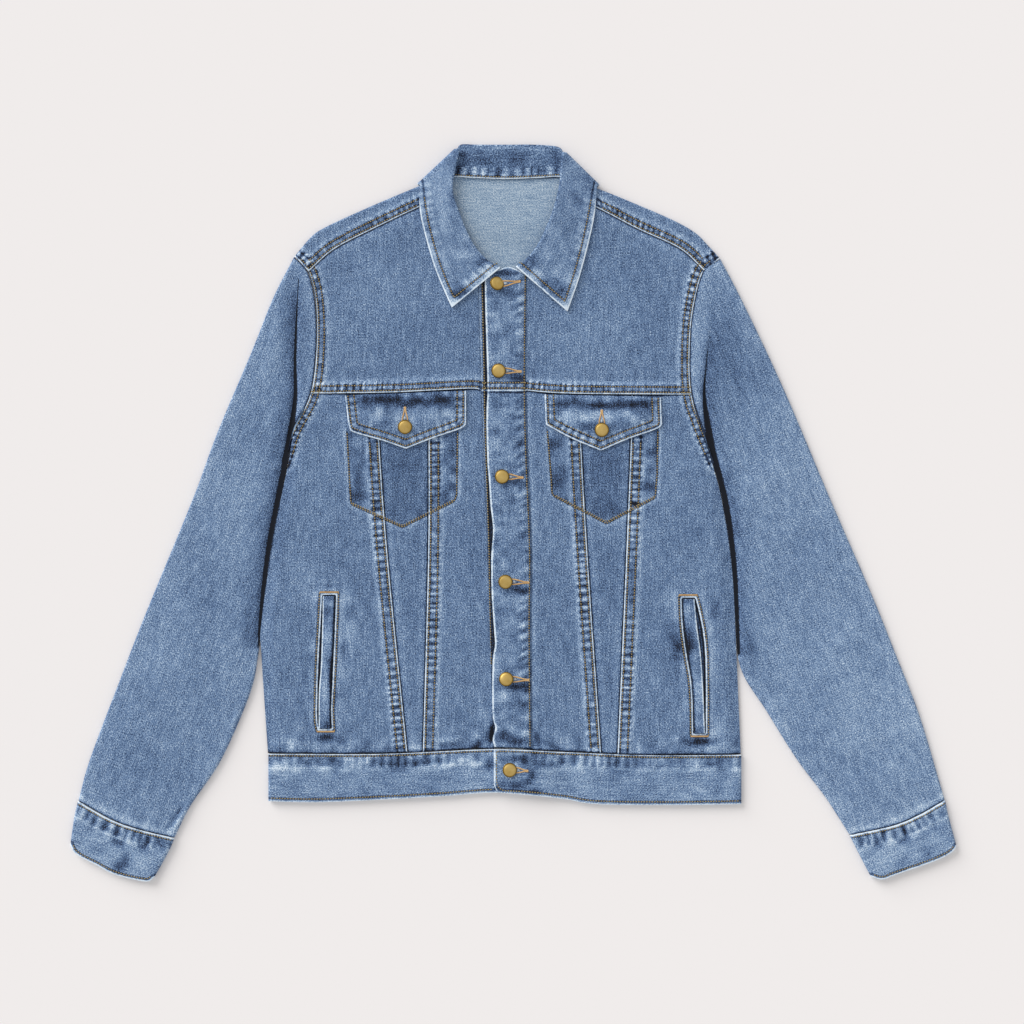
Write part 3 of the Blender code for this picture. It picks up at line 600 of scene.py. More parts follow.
pocketMouth = {  # the stitched box round each hand pocket, its two long sides from the top down
    "right": {
        "inner": [(-182.5, -83), (-184.4, -132), (-186.4, -178), (-187.9, -205), (-186.9, -229)],
        "outer": [(-202.5, -83), (-204.2, -113), (-206.8, -161), (-207.9, -200), (-207.7, -218),
                  (-205.5, -229)],
    },
    "left": {
        "inner": [(173.7, -86), (175.4, -119), (179.2, -148), (184.8, -184), (186.2, -234)],
        "outer": [(193.2, -86), (197.4, -102), (201.6, -123), (203.7, -142), (204.8, -167), (204.8, -234)],
    },
}


def mouthLoop(side):
    inner, outer = smooth(pocketMouth[side]["inner"]), smooth(pocketMouth[side]["outer"])
    return np.concatenate([inner, outer[::-1], inner[:1]])


def loopDistance(spots, loop):  # signed distance from a closed outline, below zero inside it
    away = toLine(spots, loop)[0]
    x, y = spots[..., 0], spots[..., 1]
    within = np.zeros(away.shape, bool)
    for (ax, ay), (bx, by) in zip(loop, loop[1:]):
        if ay != by:
            within ^= ((ay > y) != (by > y)) & (x < ax + (y - ay) / (by - ay) * (bx - ax))
    return np.where(within, -away, away)


bagBlotch = {"side": 0.25, "panel": 0.08, "centre": 0.22}


def bagLook(spots, side, name, look):  # puffs and dents round the stitched outline of the chest pocket's bag
    away, along, turn = toLine(spots, np.array(pocketBag[side], float))
    inwards = turn > 0
    look["rowC"] = -turn * away
    wave = puckers(along, 17.0, 1.3)
    look["lift"] += -0.25 * bell(away / 1.2) + inwards * 0.35 * bell((away - 7) / 6) * (0.6 + 0.6 * wave)
    look["washAndShade"] += 0.15 * bell((away - 2.6) / 1.8) * ~inwards + 0.02 * bell(away / 2.6)
    blotch = patches(spots, 9.0, 11)
    look["washAndShade"] += inwards * (ease((26 - away) / 16) * (bagBlotch[name] * blotch - 0.03) - 0.07)
    return look


def bandWear(spots, look):  # the cloth gathers above the waistband, with a painted shadow line just above the band's edge
    away, along, _ = toLine(spots, seams["band top"][0])
    blotch = patchy(along, away * 0.8, 13.0, 17) + 0.6 * patchy(along, away, 6.0, 19)
    near = ease((26 - away) / 20)
    look["washAndShade"] += near * 0.18 * blotch - 0.16 * bell(away / 2.6) * (1 + patchy(along, 0 * along, 11.0, 18))
    look["lift"] += near * 0.55 * patchy(along, away * 0.4, 15.0, 23)
    return look


def placketSeamAt(y):
    line = smooth(placketSeam)[::-1]
    return np.interp(y, line[:, 1], line[:, 0])


frontFolds = [  # the waistband gathers the fronts beside the placket; troughs painted dark as shade, ridges pale as highlight
    (-21.3, -217, -22.3, -243, 2.0, -1.0, -1.0), (-26, -222, -23.5, -250, 3.0, -0.6, -0.30),
    (-31, -236, -44, -250, 3.4, -0.7, -0.42),
    (-44, -226, -32, -241, 2.6, 0.7, 0.18), (-84, -244, -38, -241, 1.8, -0.5, -0.26),
    (-86, -239, -48, -236, 2.4, 0.6, 0.16),
    (-36, -186, -29, -226, 3.0, 0.4, 0.12), (24, -226, 28, -250, 3.4, -0.8, -0.38),
    (30, -240, 56, -249, 2.6, -0.6, -0.30), (20, -236, 22, -250, 2.0, -0.5, -0.24),
    (30, -226, 56, -238, 3.0, 0.5, 0.12),
    (-206, -234, -184, -233, 3.0, -0.4, -0.34), (-230, -243, -206, -240, 2.4, 0.5, 0.14),
    (-200, -243, -170, -242, 2.4, 0.5, 0.14), (188, -238, 208, -239, 3.0, -0.4, -0.32),
    (196, -245, 226, -244, 2.2, 0.5, 0.14),
    (170, -142, 178, -140, 5.0, -0.3, -0.24), (-178, -152, -182, -126, 3.0, 0.3, 0.12),
    (-180, -140, -176, -160, 2.5, -0.3, -0.14),
    (206, -224, 210, -242, 3.0, 0.4, 0.14), (160, -232, 180, -240, 3.0, 0.3, 0.12),
]


def makeFront(side):
    hole, across, edge = smooth(armhole[side]), smooth(chest[side]), smooth(frontEdge[side])
    outer, inner, hem = smooth(outerStrip[side]), smooth(innerStrip[side]), smooth(bandTop)
    isRight = side == "right"
    outerLevel, innerLevel = (across[0, 1], across[-1, 1]) if isRight else (across[-1, 1], across[0, 1])

    neckSide = np.concatenate([clipped(edge, innerLevel, frontNeck[side][0][1]), smooth(frontNeck[side])[1:]])
    holeSide = clipped(hole, outerLevel, shoulderSeam[side][0][1])
    seam = smooth(shoulderSeam[side])
    ends = (holeSide, neckSide) if isRight else (neckSide, holeSide)
    seam = seam if isRight else seam[::-1]
    low = clipped(across, ends[0][0, 0], ends[1][0, 0], axis=0)
    plan = filled(low, seam, *ends, 2.5)
    look = seamLook(plan, ["chest " + side, "armhole " + side], ["shoulder " + side])
    top = np.array(flap[side]["top"], float)
    beyond = np.maximum(top[0, 0] - plan[..., 0], plan[..., 0] - top[-1, 0])
    overFlap = (1 - ease(look["lip"] / 16)) * ease(1 - beyond / 10)
    look["lift"] += 2.1 * overFlap * (toLine(plan, seams["chest " + side][0])[0] < 16)
    look["washAndShade"] += blots(plan, frontWearAndShade)
    panel("front_yoke_" + side, plan, frontHeight, cloth["single"], look, rests_on=["back_yoke_cloth"])

    down = bodySide[side]
    longSide = np.concatenate([smooth(down)[::-1], clipped(hole, down[0][1] + 1, outerLevel)])
    strips = {  # far side, near side, lips, tucks
        "side": (longSide, outer[::-1], ["outer", "armhole"], ["chest"]),
        "panel": (outer[::-1], inner[::-1], [], ["outer", "inner", "chest"]),
        "centre": (inner[::-1], clipped(edge, -247, innerLevel), ["inner"], ["chest"]),
    }
    for name, (away, near, lips, tucks) in strips.items():
        left, right = (away, near) if isRight else (near, away)
        low = clipped(hem, left[0, 0], right[0, 0], axis=0)
        high = clipped(across, left[-1, 0], right[-1, 0], axis=0)
        plan = filled(low, high, left, right, 2.5)
        look = seamLook(plan, [f"{lip} {side}" for lip in lips],
                        [f"{tuck} {side}" for tuck in tucks] + ["band top"])
        look = bandWear(plan, bagLook(plan, side, name, look))
        lift, washAndShade = creases(plan, frontFolds)
        look["lift"] += lift
        look["washAndShade"] += washAndShade + blots(plan, frontWearAndShade)
        if name == "side":
            mouth = loopDistance(plan, mouthLoop(side))
            # a rubbed white edge round the opening, and a painted shadow in the slit inside it
            look["pale"] = mouth + 1.9
            look["dark"] = mouth + 3.6
            look["rowC"] = np.minimum(look["rowC"], mouth)
            # painted shade inside the opening, and a pale halo outside it
            look["washAndShade"] += -0.4 * ease((-mouth - 3.6) / 1.5) + 0.08 * bell((mouth - 3.5) / 3.0)
            look["washAndShade"] += 0.10 * patches(plan, 10.0, 29) * bell(mouth / 14)
            look["lift"] += -0.5 * ease((-mouth - 1.5) / 2.0) + 0.35 * bell((mouth + 0.5) / 3.5)
        if name == "panel":
            look["washAndShade"] -= 0.03
        if name == "centre" and not isRight:
            look["lift"] -= 1.4 * ease((placketSeamAt(plan[..., 1]) + 2.2 - plan[..., 0]) / 2.6)
            look["washAndShade"] += 0.10 * bell((plan[..., 0] - placketSeamAt(plan[..., 1]) - 4.0) / 2.2)
        panel(f"front_{name}_{side}", plan, frontHeight, cloth["single"], look, rests_on=["back_panel_cloth"],
              slot="denim_light" if name == "panel" else "denim")


def onFront(x, y):  # underside of what lies on the fronts, over the felled strips too
    spots = np.stack([x, y], axis=-1)
    side = "right" if np.mean(x) < 0 else "left"
    strip = np.minimum(*(toLine(spots, seams[f"{name} {side}"][0])[0] for name in ("outer", "inner")))
    return frontHeight(x, y) + cloth["single"] + cloth["gap"] + 0.55 * (1 - ease((strip - 11) / 6))


flapWear = {  # the band near the seam keeps its dye, and the puffed middle has lost it
    "right": [(-140, 119, 26, 5, -0.50), (-100, 116, 22, 5, -0.34), (-74, 119, 16, 5, -0.42),
              (-122, 112, 14, 3, -0.2),
              (-146, 104, 16, 7, 0.16), (-84, 102, 28, 8, 0.18), (-100, 80, 16, 4, 0.10),
              (-132, 94, 14, 5, -0.16),
              (-156, 100, 5, 12, -0.14), (-98, 92, 8, 6, -0.12), (-60, 106, 4, 10, -0.10)],
    "left": [(62, 115, 20, 5, -0.34), (96, 112, 24, 4, -0.42), (128, 115, 18, 5, -0.46),
             (140, 106, 5, 6, -0.16),
             (68, 101, 20, 7, 0.17), (116, 101, 22, 7, 0.18), (94, 78, 16, 4, 0.10),
             (46, 104, 4, 10, -0.16),
             (78, 92, 8, 5, -0.14), (112, 90, 10, 5, -0.10), (132, 96, 8, 5, 0.10)],
}


def makeFlap(side):
    lines = {name: smooth(line) for name, line in flap[side].items()}
    ends = (lines["outer"], lines["inner"]) if side == "right" else (lines["inner"], lines["outer"])
    low = np.concatenate([spaced(lines["fall"], 30), spaced(lines["climb"], 30)[1:]])
    plan = filled(low, lines["top"], *ends, 2.0)
    low = spaced(low, plan.shape[1] - 1)
    plan += np.linspace(1, 0, len(plan))[:, None, None] ** 2 * (low - plan[0])
    look = seamLook(plan, ["flap " + side], ["chest " + side])
    inner = ease((look["lip"] - 10) / 8)
    look["lift"] += inner * (0.9 + 0.5 * patches(plan, 16.0, 31)) * ease(look["tuck"] / 16)
    look["washAndShade"] += blots(plan, flapWear[side]) + 0.20 * inner * patches(plan, 7.0, 37)
    panel("pocket_flap_" + side, plan, onFront, cloth["double"], look, slot="denim_light",
          rests_on=["front_panel_" + side + "_cloth"])


welt = {  # long sides, from the top down
    "right": {
        "outer": [(-199.2, -87), (-199.9, -122), (-201.2, -161), (-203.2, -187), (-203.6, -226)],
        "inner": [(-186.2, -87), (-188.3, -132), (-189.8, -161), (-191.2, -200), (-190.4, -226)],
    },
    "left": {
        "outer": [(190.2, -90), (193.0, -119), (196.9, -148), (199.3, -184), (201.2, -231)],
        "inner": [(177.2, -90), (179.0, -119), (182.8, -148), (188.3, -184), (189.8, -231)],
    },
}


# mottled wear, with painted shade inside the stitched box and at its ends
weltWearAndShade = [
    (-191.5, -166, 3.5, 22, -0.34), (-194, -223, 6, 5, -0.30), (-192, -89, 7, 4, -0.30),
    (-194, -101, 4, 4, -0.16),
    (-198, -140, 4, 50, 0.08), (182, -140, 8, 10, -0.60), (186, -124, 5, 10, -0.26),
    (184, -92, 7, 4, -0.24),
    (195, -228, 6, 5, -0.26), (190, -190, 6, 26, 0.08), (184, -106, 4, 8, 0.10), (187, -160, 6, 7, -0.16),
]


def makeWelt(side):
    outer, inner = smooth(welt[side]["outer"]), smooth(welt[side]["inner"])
    seams["welt " + side] = (outer, "edge", 1)
    seams["welt seam " + side] = (inner, "edge", 1)
    left, right = (outer[::-1], inner[::-1]) if side == "right" else (inner[::-1], outer[::-1])
    plan = filled(np.array([left[0], right[0]]), np.array([left[-1], right[-1]]), left, right, 1.6)
    look = seamLook(plan, ["welt " + side], ["welt seam " + side])
    blotch = patchy(plan[..., 0], plan[..., 1] * 0.6, 9.0, 41)
    look["washAndShade"] += 0.14 * blotch - 0.02 + blots(plan, weltWearAndShade)
    look["lift"] += 0.25 * blotch
    panel("pocket_welt_" + side, plan, onFront, cloth["double"] * 0.6, look,
          rests_on=["front_side_" + side + "_cloth"])


placketWear = [
    (-8, 200, 14, 20, 0.06), (-6, 130, 14, 16, 0.03), (-6, 251, 16, 3, -0.40), (-5, 232, 12, 6, -0.14),
    (4, 142, 10, 4, -0.28), (-18, 162, 6, 6, 0.10), (5, 31, 11, 4, -0.26), (-6, 60, 12, 12, 0.06),
    (6, -80, 12, 4, -0.34), (-4, -96, 10, 4, 0.12), (6, -108, 9, 4, -0.14), (0, -62, 16, 4, 0.10),
    (6, -182, 14, 4, -0.42), (8, -162, 8, 4, -0.16), (-8, -192, 8, 5, 0.12), (8, -200, 10, 4, -0.16),
    (-4, -124, 12, 14, 0.05), (-12, -234, 5, 7, -0.26), (3, -240, 9, 4, -0.36), (12, -228, 4, 9, 0.14),
    (-15, -228, 3, 8, 0.16), (-2, -226, 6, 4, 0.14), (-24, 60, 3, 60, 0.06), (-19, -160, 3, 60, 0.06),
]
placketFolds = [  # short creases that the buttons and the waistband pull in, troughs painted as shade and ridges as highlight
    (-8, 142, 14, 138, 2.6, -0.5, -0.10), (-4, 130, 12, 126, 2.2, 0.3, 0.05),
    (-2, 28, 16, 33, 2.6, -0.5, -0.10),
    (0, 20, 14, 16, 2.2, 0.3, 0.05), (-3, -80, 18, -86, 2.6, -0.5, -0.12),
    (0, -62, 16, -58, 2.4, 0.4, 0.06),
    (2, -92, 17, -98, 2.0, -0.4, -0.08), (-4, -184, 18, -178, 2.6, -0.6, -0.14),
    (6, -196, 16, -205, 2.4, -0.4, -0.08),
    (0, -212, 17, -214, 2.2, 0.4, 0.08), (-14, -226, 6, -238, 3.0, -0.6, -0.14),
    (2, -226, 16, -240, 2.6, 0.5, 0.10),
]


chestLevel = 128.4  # where the yoke seam crosses the placket


def crossPlacket(plan, look):  # the yoke seam's fold, stitches and puckers, carried on over the placket, with a painted shadow under the fold
    across = plan[..., 1] - chestLevel
    look["rowB"], look["rowC"] = (across - row for row in seamKinds["felled"]["rows"])
    look["pale"], look["tuck"] = across, np.minimum(look["tuck"], np.abs(across + 1.6))
    look["lift"] += 0.35 * ease((across + 0.5) / 1.5) * (1 - ease((across - 9) / 3))
    look["washAndShade"] += 0.34 * puckers(plan[..., 0], 8.0, 1.1) * bell((across - 5) / 2.5)


def makePlackets():
    left, right = clipped(smooth(placketEdge), -245, 250), clipped(smooth(placketSeam), -246, 250)
    high = np.array([left[-1], (-16, 254.5), (-6, 257.5), (2, 256), right[-1]])
    plan = filled(np.array([left[0], right[0]]), smooth(high), left, right, 1.9)
    look = seamLook(plan, ["placket edge"], ["band top"])
    seamAway, along, _ = toLine(plan, seams["placket seam"][0])
    look["rowA"] = seamAway - plainRow["placket"]
    crossPlacket(plan, look)
    lift, washAndShade = creases(plan, placketFolds)
    look["lift"] += lift - 1.35 * (1 - ease(seamAway / 7.0)) - 0.15 * bell(look["rowA"] / 0.9)
    wave = puckers(along + 0.5 * (plan[..., 0] + 8), 11.0, 0.4)
    wave += 0.7 * patchy(plan[..., 0] * 0.3, plan[..., 1], 5.0, 42)
    look["washAndShade"] += washAndShade + blots(plan, placketWear) + 0.24 * wave * bell((seamAway - 6.5) / 5)
    look["washAndShade"] += 0.13 * patchy(plan[..., 0], plan[..., 1] * 1.6, 9.0, 43)
    look["lift"] += 0.35 * wave * bell((seamAway - 6.5) / 5)
    look["lip"] = np.minimum(np.maximum(look["lip"] - 0.5, 0), toLine(plan, smooth(high))[0])
    panel("placket_buttonhole", plan, onFront, cloth["double"], look, rests_on=["placket_button_cloth"],
          slot="denim_light")
    left, right = clipped(smooth(frontEdge["right"]), -246, 250), clipped(smooth(underEnd), -246, 250)
    plan = filled(np.array([left[0], right[0]]), np.array([left[-1], right[-1]]), left, right, 2.5)
    look = seamLook(plan, [], ["band top"])
    away = toLine(plan, seams["under edge"][0])[0]
    crossPlacket(plan, look)
    look["rowA"] = toLine(plan, smooth(placketRow))[0]
    look["lift"] -= 0.2 * bell(look["rowA"] / 0.9)
    row = smooth(placketRow)[::-1]
    beyond = plan[..., 0] - np.interp(plan[..., 1], row[:, 1], row[:, 0])  # from the row towards the shadow
    # the rubbed pale edge, and painted shadow under the buttonhole placket's edge
    look["washAndShade"] += 0.16 * bell((away - 0.3) / 1.2) - 0.55 * ease((beyond + 0.3) / 1.3)
    panel("placket_button", plan, lambda x, y: frontHeight(x, y) + cloth["single"] - cloth["double"],
          cloth["double"], look, rests_on=["back_panel_cloth"])


# the back, seen only through the neck and past the edges
def makeBack():
    yokeSeam = 150.0
    holes = {side: smooth(armhole[side]) for side in armhole}
    seam = np.array([clipped(holes["right"], yokeSeam, 269)[0], clipped(holes["left"], yokeSeam, 267)[0]])
    sides = []
    for side in ("right", "left"):
        down = smooth(bodySide[side])
        sides.append(np.concatenate([down[::-1], clipped(holes[side], down[0, 1] + 1, yokeSeam)]))
    hem = clipped(smooth(bandTop), sides[0][0, 0], sides[1][0, 0], axis=0)
    sides = [beside(line, by) for line, by in zip(sides, (0.9, -0.9))]  # no floor shows at the sleeves
    plan = filled(hem, seam, *sides, 8)
    look = seamLook(plan)
    # painted shade on the back's edges, which show in the dark gaps beside the sleeves
    look["washAndShade"][:, [0, 1, -2, -1]] = -0.6
    panel("back_panel", plan, lambda x, y: rise(x, y), cloth["single"], look, inside=-1)
    makeBackYoke(seam, yokeSeam)


def makeBackYoke(seam, yokeSeam):  # the yoke's back, and the strips that it sends over the shoulders
    shoulder, neck, down, wrap, strip = 52, 44, 44, 8, 10
    radius = frontUnder / 2
    folds = [spaced(smooth(shoulderFold["right"]), shoulder), spaced(smooth(backNeck), neck),
             spaced(smooth(shoulderFold["left"])[::-1], shoulder)]
    top = np.concatenate([folds[0], folds[1][1:-1], folds[2]])
    columns = len(top) - 1
    way = np.gradient(top, axis=0)
    outwards = np.stack([-way[:, 1], way[:, 0]], axis=1)
    outwards /= np.linalg.norm(outwards, axis=1, keepdims=True)
    isNeck = np.zeros(columns + 1, bool)
    isNeck[shoulder + 1:shoulder + neck] = True
    axis = top - outwards * np.where(isNeck, cloth["seamGap"], radius + cloth["single"] / 2)[:, None]
    holes = [clipped(smooth(armhole[side]), yokeSeam, armhole[side][0][1]) for side in ("right", "left")]
    u = np.linspace(0, 1, columns + 1)[:, None]
    rows = []
    for v in np.linspace(0, 1, down + 1):
        left, right = (spaced(line, down)[round(v * down)] for line in holes)
        low = seam[0] + u * (seam[1] - seam[0])
        flat = (1 - v) * low + v * axis + (1 - u) * left + u * right
        flat -= (1 - u) * ((1 - v) * low[0] + v * axis[0]) + u * ((1 - v) * low[-1] + v * axis[-1])
        if v == 1:
            flat = axis.copy()
        if v == 0:
            flat[:, 1] += cloth["seamGap"]
        rows.append(np.column_stack([flat, rise(*flat.T) + cloth["single"] / 2]))
    middle = rows[-1][:, 2] + radius
    for turn in np.radians(np.linspace(180 / wrap, 180, wrap)):
        flat = axis + outwards * radius * math.sin(turn)
        rows.append(np.column_stack([flat, middle - radius * math.cos(turn)]))
    frontSeam = np.concatenate([spaced(smooth(shoulderSeam["right"]), shoulder), folds[1][1:-1],
                                spaced(smooth(shoulderSeam["left"])[::-1], shoulder)])
    frontSeam = frontSeam + outwards * cloth["seamGap"]
    for share in np.arange(1, strip + 1) / strip:
        flat = axis + share * (frontSeam - axis)
        rows.append(np.column_stack([flat, frontUnder + rise(*flat.T) + cloth["single"] / 2]))
    points = np.stack(rows)
    points[:, 0, 0] += cloth["seamGap"]
    points[:, -1, 0] -= cloth["seamGap"]
    kept = np.ones(points.shape[:2], bool)
    kept[down + 1:, shoulder + 1:shoulder + neck] = False
    plan = points[..., :2]
    look = seamLook(plan, [f"{name} {side}" for name in ("shoulder", "armhole") for side in armhole])
    flatRows = slice(0, down + 1)
    neckAway = toLine(plan, np.array([(-74, 350), (58, 350)], float))[0]
    look["lift"][flatRows] = 0
    look["washAndShade"][flatRows] = 0.03 * bell((neckAway[flatRows] - 6) / 6) - 0.10 * bell(neckAway[flatRows] / 4)
    look["lip"][flatRows] = far
    look["lift"][down:down + wrap // 2] = 0
    points[..., 2] += look["lift"]
    makeSheet("back_yoke_cloth", "back_yoke", points, look, cloth["single"], 0, grainOf(plan), "denim",
              inside=-1, kept=kept, flat=(0.48, 0.25))


# the sleeves and cuffs: tubes pressed flat, their upper layer creased beside the body
# creases on the sleeves' upper layer, their troughs painted as shade and their ridges as highlight
sleeveFolds = {
    "right": [
        (-236, 236, -262, 130, 9, 0.7, 0.05), (-300, 100, -250, 60, 12, -0.5, -0.03),
        (-330, 0, -270, -60, 14, 0.6, 0.03), (-352, -60, -300, -110, 13, -0.6, -0.04),
        (-284, -204, -298, -230, 2.5, 0.7, 0.12), (-277, -196, -296, -234, 3.5, -0.5, -0.09),
        (-338, -304, -361, -340, 1.7, 0.7, 0.26), (-343, -301, -365, -336, 2.2, -0.5, -0.18),
        (-380, -130, -330, -200, 18, 0.5, 0.03), (-420, -240, -350, -290, 16, -0.5, -0.04),
    ],
    "left": [
        (228, 236, 258, 140, 9, 0.6, 0.03), (215, 190, 250, 100, 8, -0.5, -0.06),
        (300, 60, 240, 20, 14, 0.6, 0.04), (330, -10, 270, -60, 14, -0.6, -0.05),
        (262, -186, 290, -232, 3.0, 0.6, 0.07), (254, -180, 268, -206, 3.0, -0.5, -0.09),
        (370, -100, 320, -180, 18, 0.5, 0.04), (410, -230, 340, -280, 16, -0.5, -0.04),
    ],
}
sleeveGap = {  # the fold beside the body, painted as a dark shadow: x, y, half width
    "right": [(-224, 258, 0.02), (-226, 222, 0.5), (-227.5, 190, 1.0), (-228.5, 155, 1.3), (-228, 125, 1.8),
              (-230.5, 100, 2.3), (-234, 80, 2.7), (-237.5, 60, 2.8), (-242, 35, 2.7), (-246.5, 14, 2.5),
              (-255, -30, 2.4), (-260.8, -72, 1.9), (-265.4, -116, 1.3), (-266.5, -142, 0.6)],
    "left": [(209, 216, 0.02), (206, 190, 0.05), (203, 160, 0.3), (200.5, 132, 1.0), (201.5, 110, 2.1),
             (204.5, 90, 3.0), (208, 70, 3.3), (211.5, 54, 3.4), (222, 14, 3.0), (227.8, -20, 2.6),
             (232.2, -60, 2.4), (234.8, -110, 2.0), (236.6, -150, 1.4)],
}
# broad fading, with painted shade beside the folds near the armholes
sleeveWearAndShade = {
    "right": [(-262, 190, 20, 40, 0.02), (-300, 40, 30, 50, 0.04), (-370, -120, 30, 50, 0.03),
              (-420, -260, 20, 40, -0.03), (-216, 170, 9, 40, -0.07), (-280, -120, 14, 30, -0.03)],
    "left": [(228, 200, 16, 44, -0.12), (250, 150, 30, 40, -0.07), (290, 60, 30, 50, 0.01),
             (330, -60, 30, 50, 0.02), (390, -220, 50, 70, 0.07), (250, -150, 12, 20, -0.10)],
}


sleeveFade = {"right": 0.045, "left": 0.07}
cuffFade = {"right": 0.11, "left": 0.14}
cuffFolds = {  # short creases from the seam down, and where the seam's turned edge ends inside the cuff, troughs painted as shade
    "right": [(-440, -316, -438, -328, 2.6, -0.4, -0.24), (-415, -326, -412, -340, 3.0, -0.5, -0.34),
              (-384, -336, -381, -349, 2.2, -0.4, -0.30), (-372, -340, -369, -352, 1.8, -0.4, -0.24),
              (-360, -343, -358, -353, 2.0, -0.4, -0.24), (-448, -329, -438, -334, 3.0, -0.3, -0.22),
              (-424, -341, -404, -348, 3.2, -0.5, -0.36), (-396, -348, -378, -351, 3.0, -0.4, -0.34),
              (-399, -354, -419, -380, 5.0, -0.4, -0.30)],
    "left": [(436, -314, 434, -327, 2.6, -0.4, -0.22), (412, -324, 409, -338, 3.0, -0.5, -0.32),
             (388, -331, 385, -345, 2.2, -0.4, -0.28), (368, -337, 365, -350, 2.0, -0.4, -0.24),
             (446, -326, 436, -332, 3.0, -0.3, -0.20), (420, -338, 400, -345, 3.2, -0.5, -0.30),
             (390, -346, 374, -349, 3.0, -0.4, -0.28), (425, -348, 440, -362, 5.0, -0.4, -0.20)],
}


def pressedTube(name, node, sides, step, height, wall, lookOf, turn, slot, **held):
    start, end, first, second = sides
    radius = height / 2
    plan = filled(start, end, first, second, step, fade=4)
    rows, across = plan.shape[0], plan.shape[1] - 1
    width = np.linalg.norm(plan[:, -1] - plan[:, 0], axis=1)
    shares = np.linspace(0, 1, across + 1)
    turns = np.radians([-90, -60, -30, 0, 30, 60, 90])
    columns, isTop = [], []

    def at(share, z, top):  # the points at a share of each row's width, share being one number a row
        spot = [[np.interp(s, shares, row[:, k]) for k in (0, 1)] for s, row in zip(share, plan)]
        columns.append(np.column_stack([spot, np.full(len(share), z)]))
        isTop.append(top)

    for angle in turns:
        at(radius * (1 - math.cos(angle)) / width, radius * (1 + math.sin(angle)), angle > 0.1)
    for number in range(1, across):
        at(radius / width + number / across * (1 - 2 * radius / width), height, 1)
    for angle in turns[::-1]:
        at(1 - radius * (1 - math.cos(angle)) / width, radius * (1 + math.sin(angle)), angle > 0.1)
    below = max(across // 3, 2)
    for number in range(below - 1, 0, -1):
        at(radius / width + number / below * (1 - 2 * radius / width), 0.0, 0)
    points = np.stack(columns, axis=1)
    top = np.array(isTop, float)[None, :] * np.ones((rows, 1))
    look = lookOf(points[..., :2], top)
    lowest = np.minimum(points[..., 2], 2 * wall + 0.2)  # the top layer stays clear of the one under it
    points[..., 2] = np.maximum(points[..., 2] + look["lift"] * top, lowest)
    makeSheet(name, node, points, look, wall, -1, grainOf(points, turn), slot, closed=True, **held)


